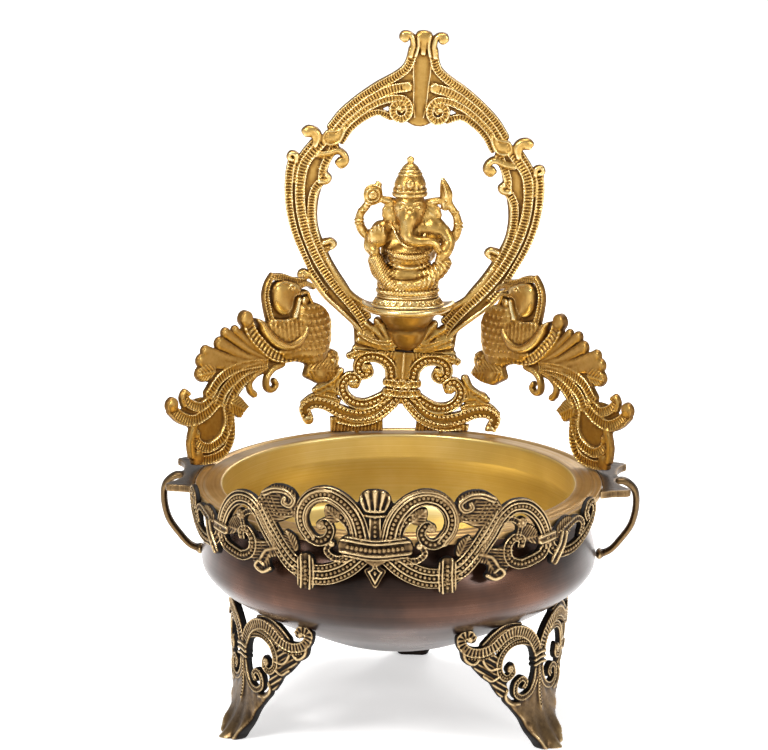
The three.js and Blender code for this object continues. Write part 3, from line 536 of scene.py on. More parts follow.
def makeFrieze():
    t = frieze["thickness"]
    sheet = Relief((-186, -36), (186, 40), frieze["cell"])

    def bothSides(draw):
        draw(lambda points: points)
        draw(mirrored)

    edges = (-0.9, 0.9)

    def half(side):
        fan = side([(50, 12), (51, 22), (55, 29), (63, 32), (74, 30), (85, 18), (78, 4), (66, 6), (58, 10)])
        sheet.plate(fan, t - 1.4, leafRule((52, 12), (72, 30), 3.0, 0.4, 0.8))
        leaf = side([(66, -8), (79, -8), (93, -10), (91, -21), (83, -31.5), (73, -29), (74, -21), (67, -17)])
        sheet.plate(leaf, t - 1.3, leafRule((70, -10), (82, -30), 2.8, 0.45, 0.8))
        sheet.plate(side([(24, 11), (31, 10.5), (34, 16), (33, 22), (27, 21.5), (22, 17)]), t - 1.0,
                    leafRule((24, 13), (32, 20), 2.6, 0.4, 0.6))
        sheet.plate(side([(11, 12), (17, 22), (26, 29), (34, 34.5), (42, 31), (50, 24), (52, 16), (48, 20),
                          (40, 27),
                          (32, 29), (24, 26), (16, 18)]), t - 0.9, lambda u, v, d: crowned(d, 2.0, 0.9))
        archBand = side([(9, 0), (12, 12.5), (17, 20.7), (24, 26.6), (32, 29.2), (41, 27), (47.3, 20.8),
                         (49.8, 12.9),
                         (48.4, 5.8), (44, -0.2)])
        sheet.channel(archBand, 13.5, t, (-0.92, -0.5, 0.36, 0.66, 0.94), (-0.06,), 1.5, 9.5)
        archSpiral = side([(44, -0.2), (37.5, -2.8), (32, -0.4), (29.5, 5.8), (33, 10.5), (37, 8)])
        sheet.channel(archSpiral, 8.4, t - 0.1, (-0.82, 0.82), (0.0,), 1.35, 5.5)
        sheet.dome(side([(36.2, 8.2)])[0], 3.6, t - 0.6, 1.6, 7)
        archInner = side([(14.4, -1), (16.8, 9), (22, 14.5), (28, 16.5)])
        sheet.channel(archInner, 7.4, t - 0.4, (-0.84, 0.84), (0.0,), 1.25, 6)
        lowerArm = side([(9, -10), (17.8, -18), (25.5, -22.4), (33, -25), (41, -25.7), (50, -24.5)])
        sheet.channel(lowerArm, 14.4, t, (-0.93, -0.34, 0.34, 0.93), (-0.64, 0.0, 0.64), 1.3)
        lowerCurl = side([(13, -10), (20, -13), (27, -13), (32, -8.5), (29.5, -4)])
        sheet.ribbed(lowerCurl, 6.4, t - 0.4, 2.4, 0.9, 4.2)
        sheet.dome(side([(28.3, -3.6)])[0], 2.6, t - 0.8, 1.9)
        rising = side([(49, -24), (58, -18.5), (66, -9.5), (73, 1), (80, 12)])
        sheet.channel(rising, 14, t - 0.1, (-0.93, -0.34, 0.34, 0.93), (-0.64, 0.0, 0.64), 1.3, 10.5)
        sideScroll = side([(70, -8), (77, 1), (83, 10), (92, 16.6), (103, 15.8), (113, 8), (119.5, -3),
                           (121, -12)])
        sheet.channel(sideScroll, 11, t + 0.1, (-0.88, -0.38, 0.38, 0.88), (0.0,), 1.4, 10)
        low = side([(121, -12), (117, -18.5), (108, -21.5), (98, -22.5), (90, -18), (88.7, -9.5), (94, -4),
                    (99.5, -6),
                    (99, -10)])
        sheet.channel(low, 9, t - 0.1, (-0.84, 0.84), (0.0,), 1.35, 6)
        hook = side([(80, 6), (87, 9.5), (94, 8), (98, 3), (96, -5)])
        sheet.ribbed(hook, 5.4, t - 0.6, 2.2, 0.9, 4.2)
        sheet.dome(side([(99.5, 5.5)])[0], 4.2, t - 0.4, 1.6, 8)
        sheet.band(side([(74, -27), (80, -30), (86, -27), (83, -23), (79, -25)]), 4.2, t - 0.3,
                   [(0.0, 1.4, 1.0)], 3)
        sheet.band(side([(70, -12), (77, -15), (82, -22)]), 4.6, t - 0.4, [(0.0, 1.3, 0.9)], 3.4)
        sheet.channel(side([(84, 15), (76, 22), (68, 12), (58, 13.5), (52, 19)]), 6, t - 0.3, edges, (0.0,),
                      1.1, 5)
        sheet.band(side([(78, 24), (70, 27.5), (61, 27.5), (55, 23), (58, 18.5), (63, 20), (62, 23)]), 5.2,
                   t - 0.3,
                   [(-0.5, 0.9, 0.9), (0.5, 0.9, 0.9)], 3.8)
        end = side([(121, -6), (126, -17), (134, -21.5), (146, -22), (157, -19), (167, -14), (175, -8),
                    (178.5, -2),
                    (175.5, 3), (169, 2.5), (165.5, -2.5), (168, -6.5)])
        sheet.channel(end, 8.6, t - 0.1, (-0.84, 0.84), (0.0,), 1.35, 5.4)
        endInner = side([(134, -9), (144, -5), (154, -3), (160, -8), (157, -14)])
        sheet.ribbed(endInner, 6, t - 0.5, 2.2, 0.9, 4.6)
        sheet.band(side([(128, -25), (135, -16), (137, -10)]), 8, t + 0.1,
                   [(-0.6, 1.1, 1.1), (0.6, 1.1, 1.1)])
        sheet.band(side([(116, -9), (126, -8)]), 7.4, t + 0.3, [(-0.6, 1.0, 1.0), (0.6, 1.0, 1.0)])
        wrap = side([(46.5, -17.5), (46.2, -25), (46.5, -32)])
        sheet.channel(wrap, 12.5, t + 0.7, (-0.88, -0.5, 0.5, 0.88), (0.0,), 1.5)

        sheet.plate(side([(92, -6), (100, 4), (108, 3), (114, -4), (112, -12), (104, -9)]), t - 1.6,
                    leafRule((94, -6), (112, -6), 2.6, 0.4, 0.8))
        sheet.plate(side([(126, -14), (130, -4), (140, 2), (148, -1), (146, -10), (136, -14)]), t - 1.5,
                    leafRule((128, -12), (146, -2), 2.6, 0.4, 0.8))
        sheet.plate(side([(52, -12), (54, -2), (62, 2), (64, -5), (58, -12)]), t - 1.6,
                    leafRule((54, -12), (61, 1), 2.4, 0.4, 0.6))

    bothSides(half)
    sheet.plate([(-14, 20), (-9, -2), (9, -2), (14, 20), (10, 29), (-10, 29)], t - 2.0, smooth=False)
    sheet.channel([(0, -3), (0, 16)], 8, t - 0.1, edges, (0.0,), 1.35)
    palmette = [(-6, 19), (-10.4, 28), (-7.5, 33), (-2.5, 34.4), (2.5, 34.4), (7.5, 33), (10.4, 28), (6, 19)]
    sheet.plate(palmette, t - 0.3, lambda u, v, d: 1.0 * np.cos(np.arctan2(u, v - 6) * 30) * np.clip(d, 0, 1))
    for v in (17, 20.2):
        sheet.band([(-5.4, v), (0, v - 0.3), (5.4, v)], 2.4, t + 0.4, [(0, 1.1, 0.8)], edge=1.0)
    sheet.plate([(-15, -10), (-6, -15), (0, -18), (6, -15), (15, -10)], t - 0.2, lambda u, v,
                d: crowned(d, 2.0, 0.8))
    clasp = [(-17.5, -4.4), (0, -6.2), (17.5, -4.4)]
    sheet.channel(clasp, 14.5, t + 1.1, (-0.94, -0.56, 0.56, 0.94), (0.0,), 1.8, line=0.95)
    pendant = [(-5.5, -12), (-3.5, -17), (-7, -19.8), (-4.6, -25), (0, -32), (4.6, -25), (7, -19.8),
               (3.5, -17), (5.5, -12)]
    sheet.plate(pendant, t - 0.1, lambda u, v, d: 0.9 * np.cos(d * 2.4))
    beads = sheet.rows + [([(0, -15), (0, -21)], 0.0, t + 0.5, 1.0)]
    castRelief("front_frieze_casting", sheet, bendFrieze, darkBronze, ["front_frieze"],
               adaptivity=0.3,
               tint=lambda u, v: 0.22 * np.clip(1 - np.abs(u) / 60, 0, 1) * np.clip((v - 8) / 20, 0, 1))
    beadRows("front_frieze_beads", beads, bendFrieze, outFromAxis, frieze["pitch"], darkBronze)
    report("frieze")


makeFrieze()


leg = {"radius": 111, "thickness": 5, "toeFlare": 7, "toeDepth": 8, "toeHeight": 40, "clock": -2.5,
       "cell": 0.5,
       "pitch": 2.2}


def makeLeg(name, turn):
    t = leg["thickness"]
    sheet = Relief((-78, 0), (78, 96), leg["cell"])
    for side in (list, mirrored):
        sheet.plate(side([(65, 77), (59, 66), (52, 58), (45, 52), (41, 46), (35, 40), (30, 50), (37, 60),
                          (40, 72),
                          (50, 78)]), t - 1.6, lambda u, v, d: 0.7 * np.cos(1.5 * (v - 0.7 * np.abs(u))))
        sheet.band(side([(66, 80), (64, 72), (58, 68), (54, 71)]), 4, t - 0.6, [(0, 1.2, 0.8)], 3)
        sheet.band(side([(38, 62), (45, 62), (50, 67), (52, 73)]), 3, t - 0.8, [(0, 1.0, 0.6)])
        sheet.band(side([(38, 56), (44, 54), (50, 58)]), 3, t - 0.8, [(0, 1.0, 0.6)])
        sheet.ribbed(side([(20, 88), (32, 90), (42, 86), (50, 80)]), 5, t - 1.0, 1.6, 0.8)
        sheet.scroll(side([(4, 67), (9, 73), (18, 76.5), (27, 76.5), (34.5, 72), (38, 64.5), (37, 57.5),
                           (32, 53.5),
                           (26.5, 56), (27.5, 61)]), 5.8, t - 0.7, (0,), 1.05, 5.6, 0.75)
        sheet.dome(side([(29, 59.5)])[0], 3.2, t - 0.8, 1.5, 7)
        sheet.ribbed(side([(1, 60), (3, 67), (8, 76), (17, 83), (27, 85.3), (36, 82.5), (44, 77.5),
                           (53, 75.5),
                           (61.5, 77.5), (66.5, 82.5), (67, 88), (62, 89.5), (59, 86)]), 9.4, t, 2.6, 1.4,
                           6.6)
        sheet.rows.append((side([(4, 62), (8, 71), (17, 78.6), (27, 80.4), (35, 77.5), (44, 72.6),
                                 (53, 70.8), (62, 73)]),
                           0, t - 0.2, 0.9))
        sheet.dome(side([(61.5, 86)])[0], 2.4, t - 0.2, 1.2)
        sheet.ribbed(side([(2, 56), (4, 46), (9.5, 39), (18, 37), (24, 41), (23.5, 47.5), (18, 50.5),
                           (14, 47), (16, 44)]),
                     5.6, t - 0.5, 1.9, 0.9, 4)
        sheet.band(side([(21, 33), (28, 34.5), (33, 40), (31, 45)]), 3.4, t - 0.8, [(0, 1.2, 0.8)], 2.4)
    heel = [(3, 54), (12, 40), (24, 36), (34, 44), (34, 38), (28, 31), (21, 22), (17, 13), (12, 5), (9, 0)]
    foot = heel + mirrored(heel)[::-1]

    def veins(u, v, d):
        fan = np.arctan2(u, 62 - v)
        lobes = np.cos(fan * 26) * np.clip((40 - v) / 26, 0.2, 1)
        toes = 1.3 * np.abs(np.cos(u * 0.27)) ** 0.5 * np.clip((13 - v) / 13, 0, 1)
        return 0.65 * lobes + toes

    sheet.plate(foot, t - 0.6, veins, edge=1.6, drop=2.2)
    for v in (57, 60.5, 64):
        sheet.band([(-5.6, v), (0, v + 0.8), (5.6, v)], 3.2, t + 0.9, [(0, 1.2, 0.7)])
    sheet.band([(0, 52), (0, 40), (0, 26)], 3.0, t, [(0, 1.2, 0.7)], 1.6)
    sheet.rows.append(([(0, 51), (0, 28)], 0, t + 0.6, 0.75))

    def place(points):
        points = np.asarray(points, float)
        low = np.clip(1 - points[:, 1] / leg["toeHeight"], 0, 1) ** 2
        r = leg["radius"] + leg["toeFlare"] * low + points[:, 2] * (1 + leg["toeDepth"] / t * low)
        angle = points[:, 0] / (leg["radius"] + t / 2) + math.radians(turn + leg["clock"])
        return np.column_stack([r * np.sin(angle), -r * np.cos(angle), points[:, 1]])

    belly = bellyUnderside()

    def underBowl(u, v, w):
        r = leg["radius"] + w
        return (np.interp(r, belly[:, 0], belly[:, 1]) - 0.2 - v) * 0.8 + u * 0

    castRelief(name + "_casting", sheet, place, darkBronze, [name], cut=underBowl,
               tint=lambda u, v: 0.14 * np.clip(1 - v / 12, 0, 1))
    beadRows(name + "_beads", sheet.rows, place, outFromAxis, leg["pitch"], darkBronze)


bowl = {
    "innerRadius": 120, "flangeThickness": 5, "neckDepth": 19, "bellyRadius": 134.5, "bellyHeight": 111,
    "wall": 3,
    "baseRadius": 41, "baseHeight": 56, "segments": 180, "round": 0.9,
}


# Radius and height along the outside of the belly, from the base up to the neck
def bellyOutside():
    base, height = bowl["baseRadius"], bowl["baseHeight"]
    across = [0, 0.15, 0.4, 0.63, 0.82, 0.94, 1]
    up = [0, 0.09, 0.29, 0.48, 0.68, 0.84, 1]
    points = [(base + (bowl["bellyRadius"] - base) * a, height + (bowl["bellyHeight"] - height) * b)
              for a, b in zip(across, up)]
    neck = bowl["innerRadius"] + bowl["wall"]
    foot = rimHeight - bowl["neckDepth"]
    for a, b in ((0.94, 0.3), (0.62, 0.66), (0.24, 0.88), (0, 1)):
        points.append((neck + (bowl["bellyRadius"] - neck) * a,
                       bowl["bellyHeight"] + (foot - bowl["bellyHeight"]) * b))
    return points


def bellyUnderside():
    samples = smoothPath(bellyOutside()[:7], 2.0)[0]
    return samples


def makeBowl():
    wall, top, under = bowl["wall"], rimHeight, rimHeight - bowl["flangeThickness"]
    outside = smoothPath(bellyOutside(), 1.6)[0]
    slope = np.gradient(outside, axis=0)
    slope /= np.linalg.norm(slope, axis=1)[:, None]
    inside = outside + wall * np.column_stack([-slope[:, 1], slope[:, 0]])
    base, height, recess = bowl["baseRadius"], bowl["baseHeight"], 2.0
    edge = bowl["round"]

    def corner(r, z, start, end, size=edge):
        turns = np.radians(np.linspace(start, end, 4))
        return [(r + size * math.cos(a), z + size * math.sin(a)) for a in turns]

    profile = [(0, height + recess)]
    profile += [(r, height + recess) for r in np.linspace(6, base - wall - 2, 6)]
    profile += [(base - wall - 0.5, height + recess)] + corner(base - wall + edge, height + edge, 180, 270)
    profile += corner(base - edge, height + edge, 270, 330)
    profile += [tuple(point) for point in outside[2:-2]]
    neck = bowl["innerRadius"] + wall
    profile += [(neck + 0.2, z) for z in np.linspace(rimHeight - bowl["neckDepth"] + 1, under - 1.5, 6)]
    profile += [(neck + 0.8, under - 0.3)] + [(r, under) for r in np.linspace(neck + 2, flangeRadius - 2, 4)]
    profile += corner(flangeRadius - edge, under + edge, 270, 360) + corner(flangeRadius - edge, top - edge,
            0, 90)
    # two fine turned steps on the flange, then the rounded lip
    for r, z in ((134.5, 0), (134.2, -0.5), (132.9, -0.5), (132.6, 0), (129, 0), (126.2, 0), (125.9, 0.35),
                 (123.5, 0.45)):
        profile.append((r, top + z - 0.45))
    profile += corner(bowl["innerRadius"] + 1.5, top - 1.5, 90, 180, 1.5)
    profile += [(bowl["innerRadius"], z) for z in np.linspace(top - 3, rimHeight - bowl["neckDepth"] + 1, 9)]
    profile += [tuple(point) for point in inside[2:-6][::-1] if point[0] > 8]
    floor = height + recess + wall
    profile = [point for point in profile if not (point[0] < base and height + recess < point[1] < floor)]
    profile += [(r, floor) for r in np.linspace(base - 4, 5, 7)] + [(0, floor)]
    return np.array(profile)


# Turns a profile of radius and height about the upright axis: every grid column is one copy
def turnTree():
    tree, start, end = newTree("turnedForm",
                               [("Segments", "NodeSocketInt", 96), ("Rings", "NodeSocketInt", 10),
                                              ("Sweep", "NodeSocketFloat", 2 * math.pi),
                                              ("Metal", "NodeSocketMaterial", None)])
    columns = addNode(tree, "ShaderNodeMath", {"operation": "ADD"}, {1: 1.0}, {0: start.outputs["Segments"]})
    grid = addNode(tree, "GeometryNodeMeshGrid", inputs={"Size X": 1.0, "Size Y": 1.0},
                   links={"Vertices X": columns.outputs[0], "Vertices Y": start.outputs["Rings"]})
    place = addNode(tree, "GeometryNodeInputPosition")
    split = addNode(tree, "ShaderNodeSeparateXYZ", links={0: place.outputs[0]})
    last = addNode(tree, "ShaderNodeMath", {"operation": "SUBTRACT"}, {1: 1.0}, {0: start.outputs["Rings"]})
    up = addNode(tree, "ShaderNodeMath", {"operation": "ADD"}, {1: 0.5}, {0: split.outputs["Y"]})
    scaled = addNode(tree, "ShaderNodeMath", {"operation": "MULTIPLY"},
                     links={0: up.outputs[0], 1: last.outputs[0]})
    row = addNode(tree, "ShaderNodeMath", {"operation": "ROUND"}, links={0: scaled.outputs[0]})
    sample = addNode(tree, "GeometryNodeSampleIndex", {"data_type": "FLOAT_VECTOR", "domain": "POINT"},
                     links={"Geometry": start.outputs["Geometry"], "Value": place.outputs[0],
                            "Index": row.outputs[0]})
    partTurn = addNode(tree, "ShaderNodeMath", {"operation": "ADD"}, {1: 0.5}, {0: split.outputs["X"]})
    angle = addNode(tree, "ShaderNodeMath", {"operation": "MULTIPLY"},
                    links={0: partTurn.outputs[0], 1: start.outputs["Sweep"]})
    turned = addNode(tree, "ShaderNodeVectorRotate", {"rotation_type": "Z_AXIS"},
                     links={"Vector": sample.outputs[0], "Angle": angle.outputs[0]})
    moved = addNode(tree, "GeometryNodeSetPosition",
                    links={"Geometry": grid.outputs["Mesh"], "Position": turned.outputs[0]})
    closed = addNode(tree, "GeometryNodeMergeByDistance", inputs={"Distance": 1e-6},
                     links={"Geometry": moved.outputs[0]})
    real = addNode(tree, "GeometryNodeRealizeInstances", links={"Geometry": closed.outputs[0]})
    smooth = addNode(tree, "GeometryNodeSetShadeSmooth", links={"Geometry": real.outputs[0]})
    metal = addNode(tree, "GeometryNodeSetMaterial",
                    links={"Geometry": smooth.outputs[0], "Material": start.outputs["Metal"]})
    tree.links.new(metal.outputs[0], end.inputs["Geometry"])
    return tree


turnNodes = turnTree()


def turnedPiece(name, profile, segments, material, sweep=2 * math.pi):
    curve = bpy.data.curves.new(name, "CURVE")
    curve.dimensions = "3D"
    spline = curve.splines.new("POLY")
    spline.points.add(len(profile) - 1)
    for point, (r, z) in zip(spline.points, profile):
        point.co = (r * mm, 0, z * mm, 1)
    source = bpy.data.objects.new(name + "Profile", curve)
    bpy.context.scene.collection.objects.link(source)
    piece = runTree(name, source, turnNodes,
                    {"Segments": segments, "Rings": len(profile), "Sweep": sweep, "Metal": material})
    faceOut(piece.data)
    return piece


stage = {"distance": 2.545, "azimuth": 2.7, "elevation": 14.4, "focal": 176.1, "aim": (-9.9, 0, 239.2),
         "floorSize": 60, "floorGlow": 0.45, "skyStrength": 0.85}


def makeStage():
    bpy.ops.mesh.primitive_plane_add(size=stage["floorSize"], location=(0, 0, 0))
    floor = bpy.context.object
    floor.name = "floor"
    material, tree, shader = newMaterial("pale_paper")
    shader.inputs["Base Color"].default_value = linearColour("#fbfaf9")
    shader.inputs["Roughness"].default_value = 0.95
    shader.inputs["Specular IOR Level"].default_value = 0.1
    shader.inputs["Emission Color"].default_value = (1, 1, 1, 1)
    shader.inputs["Emission Strength"].default_value = stage["floorGlow"]
    floor.data.materials.append(material)
    world = bpy.data.worlds.new("softRoom")
    bpy.context.scene.world = world
    world.use_nodes = True
    tree = world.node_tree
    tree.nodes.clear()
    coords = addNode(tree, "ShaderNodeTexCoord")
    split = addNode(tree, "ShaderNodeSeparateXYZ", links={0: coords.outputs["Generated"]})
    ramp = colourRamp(tree, split.outputs["Z"],
                      [(0.0, "#ffffff"), (0.3, "#e4e4e4"), (0.6, "#b4b4b4"), (1.0, "#e8e8e8")])
    sky = addNode(tree, "ShaderNodeBackground", inputs={"Strength": stage["skyStrength"]},
                  links={"Color": ramp.outputs["Color"]})
    addNode(tree, "ShaderNodeOutputWorld", links={"Surface": sky.outputs[0]})
    lamps = [("keyLamp", (-1.2, -1.7, 1.9), 0.7, 42), ("fillLamp", (1.7, -1.3, 1.0), 0.6, 16),
             ("topLamp", (0.1, 0.2, 2.2), 0.9, 34), ("rimLamp", (0.6, 1.9, 1.3), 0.8, 12)]
    for name, place, size, power in lamps:
        light = bpy.data.lights.new(name, "AREA")
        light.size = size
        light.energy = power
        lamp = bpy.data.objects.new(name, light)
        lamp.location = place
        lamp.rotation_euler = (Vector((0, 0, 0.2)) - Vector(place)).to_track_quat("-Z", "Y").to_euler()
        bpy.context.scene.collection.objects.link(lamp)
    bpy.context.scene.view_settings.view_transform = "Standard"


def makeCamera():
    az, el = math.radians(stage["azimuth"]), math.radians(stage["elevation"])
    away = Vector((math.sin(az) * math.cos(el), -math.cos(az) * math.cos(el), math.sin(el)))
    camera = bpy.data.cameras.new("camera")
    camera.lens = stage["focal"]
    camera.sensor_width = 36
    camera.clip_end = 80
    viewer = bpy.data.objects.new("camera", camera)
    viewer.location = Vector(stage["aim"]) * mm + away * stage["distance"]
    viewer.rotation_euler = away.to_track_quat("Z", "Y").to_euler()
    bpy.context.scene.collection.objects.link(viewer)
    bpy.context.scene.camera = viewer


# Spun and lacquered surface: fine turned lines run round the axis
def spunMaterial(name, look):
    material, tree, shader = newMaterial(name)
    coords = addNode(tree, "ShaderNodeTexCoord")
    split = addNode(tree, "ShaderNodeSeparateXYZ", links={0: coords.outputs["Object"]})
    flat = addNode(tree, "ShaderNodeCombineXYZ", links={0: split.outputs["X"], 1: split.outputs["Y"]})
    radius = addNode(tree, "ShaderNodeVectorMath", {"operation": "LENGTH"}, links={0: flat.outputs[0]})
    lines = addNode(tree, "ShaderNodeCombineXYZ", links={0: radius.outputs["Value"], 2: split.outputs["Z"]})
    turned = addNode(tree, "ShaderNodeTexNoise",
                     inputs={"Scale": 1000 / look["lineSize"], "Detail": 4.0, "Roughness": 0.7},
                     links={"Vector": lines.outputs[0]})
    patches = addNode(tree, "ShaderNodeTexNoise", inputs={"Scale": 1000 / look["patchSize"], "Detail": 4.0},
                      links={"Vector": coords.outputs["Object"]})
    mixed = addNode(tree, "ShaderNodeMath", {"operation": "MULTIPLY_ADD"}, {1: look["lineAmount"]},
                    {0: turned.outputs["Fac"], 2: patches.outputs["Fac"]})
    level = addNode(tree, "ShaderNodeMath", {"operation": "SUBTRACT", "use_clamp": True},
                    {1: look["lineAmount"] / 2},
                    {0: mixed.outputs[0]})
    colour = colourRamp(tree, level.outputs[0], look["colours"])
    rough = colourRamp(tree, level.outputs[0], look["roughness"])
    tree.links.new(colour.outputs["Color"], shader.inputs["Base Color"])
    tree.links.new(rough.outputs["Color"], shader.inputs["Roughness"])
    shader.inputs["Metallic"].default_value = look["metallic"]
    shader.inputs["Coat Weight"].default_value = look["coat"]
    shader.inputs["Coat Roughness"].default_value = look["coatRoughness"]
    bump = addNode(tree, "ShaderNodeBump", inputs={"Strength": look["bump"], "Distance": 0.0002},
                   links={"Height": turned.outputs["Fac"]})
    tree.links.new(bump.outputs["Normal"], shader.inputs["Normal"])
    return material


# Deep red-brown under lacquer, with soft broad reflections round the belly
bellyBronze = spunMaterial("lacquered_dark_bronze", {
    "colours": [(0.25, "#1c110b"), (0.45, "#352015"), (0.6, "#4d3021"), (0.8, "#6d4632")],
    "roughness": [(0.2, 0.36), (0.8, 0.24)], "metallic": 0.75, "coat": 0.3, "coatRoughness": 0.2,
    "lineSize": 1.6, "lineAmount": 0.3, "patchSize": 55.0, "bump": 0.12,
})
# Lighter honey brown that sets the flat rim off from the belly
rimBronze = spunMaterial("lacquered_light_bronze", {
    "colours": [(0.25, "#8d6c40"), (0.5, "#ad8b58"), (0.8, "#cbaa76")],
    "roughness": [(0.2, 0.42), (0.8, 0.3)], "metallic": 0.8, "coat": 0.0, "coatRoughness": 0.25,
    "lineSize": 1.2, "lineAmount": 0.4, "patchSize": 40.0, "bump": 0.15,
})
# Bare yellow brass with fine turned rings, the brightest place on the bowl
bowlBrass = spunMaterial("spun_polished_brass", {
    "colours": [(0.2, "#c9ae66"), (0.5, "#d8c07c"), (0.8, "#e9d7a2")],
    "roughness": [(0.2, 0.44), (0.8, 0.34)], "metallic": 0.85, "coat": 0.0, "coatRoughness": 0.2,
    "lineSize": 1.1, "lineAmount": 0.6, "patchSize": 60.0, "bump": 0.25,
})


def finishBowl():
    piece = turnedPiece("bowl_shell", makeBowl(), bowl["segments"], bellyBronze)
    mesh = piece.data
    # the turned mesh may already carry an empty slot, so the new ones are counted from its end
    rimSlot = len(mesh.materials)
    # millimetres by which a finish reaches past the edge where it starts
    flangeUnder, flangeInside, footMargin = 0.4, 0.6, 3
    mesh.materials.append(rimBronze)
    mesh.materials.append(bowlBrass)
    for face in mesh.polygons:
        x, y, z = face.center / mm
        r = math.hypot(x, y)
        outward = (face.normal.x * x + face.normal.y * y) / max(r, 1)
        facesIn = outward < -0.02 or (outward < 0.05 and face.normal.z > 0.5)
        onFlange = z > rimHeight - bowl["flangeThickness"] - flangeUnder
        if onFlange and r > bowl["innerRadius"] + flangeInside:
            face.material_index = rimSlot
        elif z > bowl["baseHeight"] + footMargin and facesIn:
            face.material_index = rimSlot + 1
    finishPiece(piece, ["bowl"])
    report("bowl")


# A block of space in millimetres; every shape adds to a field that is positive inside
class Solid:
    def __init__(self, low, high, cell):
        self.low, self.cell = np.array(low, float), cell
        self.size = np.ceil((np.array(high) - self.low) / cell).astype(int) + 1
        self.field = np.full(self.size, -3.0, np.float32)

    def window(self, low, high):
        first = np.clip(((np.array(low) - self.low) / self.cell).astype(int) - 1, 0, self.size - 1)
        last = np.clip(((np.array(high) - self.low) / self.cell).astype(int) + 2, 1, self.size)
        axes = [self.low[k] + np.arange(first[k], last[k]) * self.cell for k in range(3)]
        return tuple(slice(a, b) for a, b in zip(first, last)), *np.meshgrid(*axes, indexing="ij")

    def blend(self, place, value, soft):
        old = self.field[place]
        if soft > 0:
            part = np.clip(0.5 + 0.5 * (value - old) / soft, 0, 1)
            self.field[place] = old + (value - old) * part + soft * part * (1 - part)
        else:
            self.field[place] = np.maximum(old, value)

    def ball(self, centre, radii, soft=1.2, tilt=0.0):
        reach = np.full(3, max(radii) + 3.0)
        place, x, y, z = self.window(np.array(centre) - reach, np.array(centre) + reach)
        x, y, z = x - centre[0], y - centre[1], z - centre[2]
        if tilt:
            c, s = math.cos(tilt), math.sin(tilt)
            x, z = x * c + z * s, z * c - x * s
        k = np.sqrt((x / radii[0]) ** 2 + (y / radii[1]) ** 2 + (z / radii[2]) ** 2)
        g = np.sqrt((x / radii[0] ** 2) ** 2 + (y / radii[1] ** 2) ** 2 + (z / radii[2] ** 2) ** 2) + 1e-6
        self.blend(place, np.clip(k * (1 - k) / g, -3, 9), soft)

    # A limb along given points of x, y, z and radius
    def limb(self, points, soft=1.0, flatten=1.0):
        samples = smoothPath(points, 1.0)[0]
        reach = samples[:, 3].max() * max(1, 1 / flatten) + 3
        place, x, y, z = self.window(samples[:, :3].min(0) - reach, samples[:, :3].max(0) + reach)
        value = np.full(x.shape, -3.0)
        for a, b in zip(samples[:-1], samples[1:]):
            span = b[:3] - a[:3]
            length = span @ span + 1e-9
            t = np.clip(((x - a[0]) * span[0] + (y - a[1]) * span[1] + (z - a[2]) * span[2]) / length, 0, 1)
            gap = np.sqrt((x - a[0] - t * span[0]) ** 2 + ((y - a[1] - t * span[1]) / flatten) ** 2
                          + (z - a[2] - t * span[2]) ** 2)
            value = np.maximum(value, a[3] + (b[3] - a[3]) * t - gap)
        self.blend(place, np.clip(value, -3, 9), soft)

    # A turned form about an upright line, flattened front to back
    def turned(self, centre, profile, flatten=1.0, soft=0.6, flutes=0, depth=0.0):
        profile = np.array(profile, float)
        reach = profile[:, 0].max() + 3
        place, x, y, z = self.window((centre[0] - reach, centre[1] - reach, profile[:, 1].min() - 2),
                                     (centre[0] + reach, centre[1] + reach, profile[:, 1].max() + 2))
        x, y = x - centre[0], (y - centre[1]) / flatten
        r = np.hypot(x, y)
        wall = np.interp(z, profile[:, 1], profile[:, 0])
        if flutes:
            wall = wall - depth * (0.5 + 0.5 * np.cos(np.arctan2(y, x) * flutes))
        value = np.minimum((wall - r) * 0.85, np.minimum(z - profile[0, 1], profile[-1, 1] - z))
        self.blend(place, np.clip(value, -3, 9), soft)

    # Raises or cuts the surface of the front by a rule of x and z
    def engrave(self, low, high, rule):
        place, x, y, z = self.window(low, high)
        near = np.clip(1 - np.abs(self.field[place]) / 3, 0, 1)
        self.field[place] = self.field[place] + rule(x, y, z) * near

    def finish(self, name, place, material, nodes, adaptivity=0.0, gain=0.5, reach=1.6):
        blurred = np.clip(self.field, -2, 2)
        around = max(1, int(round(reach / self.cell)))
        for axis in range(3):
            blurred = slideMean(blurred, around, axis)
        points, triangles, quads = skin(self.field, self.low, self.cell, adaptivity)
        where = np.clip((points - self.low) / self.cell, 0, np.array(self.field.shape) - 1.001)
        base = where.astype(int)
        cavity = blurred[base[:, 0], base[:, 1], base[:, 2]]
        relief = 0.55 - cavity * gain
        piece = meshFrom(name, place(points), triangles, quads, {"relief": relief}, material)
        return finishPiece(piece, nodes)


def slideMean(values, radius, axis):
    padded = np.concatenate([np.repeat(values.take([0], axis), radius + 1, axis), values,
                             np.repeat(values.take([-1], axis), radius, axis)], axis).astype(np.float64)
    total = np.cumsum(padded, axis)
    count, size = 2 * radius + 1, values.shape[axis]
    return (total.take(range(count, count + size), axis) - total.take(range(size), axis)) / count


handle = {"centreY": 16, "edge": 138.95, "hornTip": (158, -17), "prongTip": (156, 49), "reach": 165,
          "cell": 0.6}


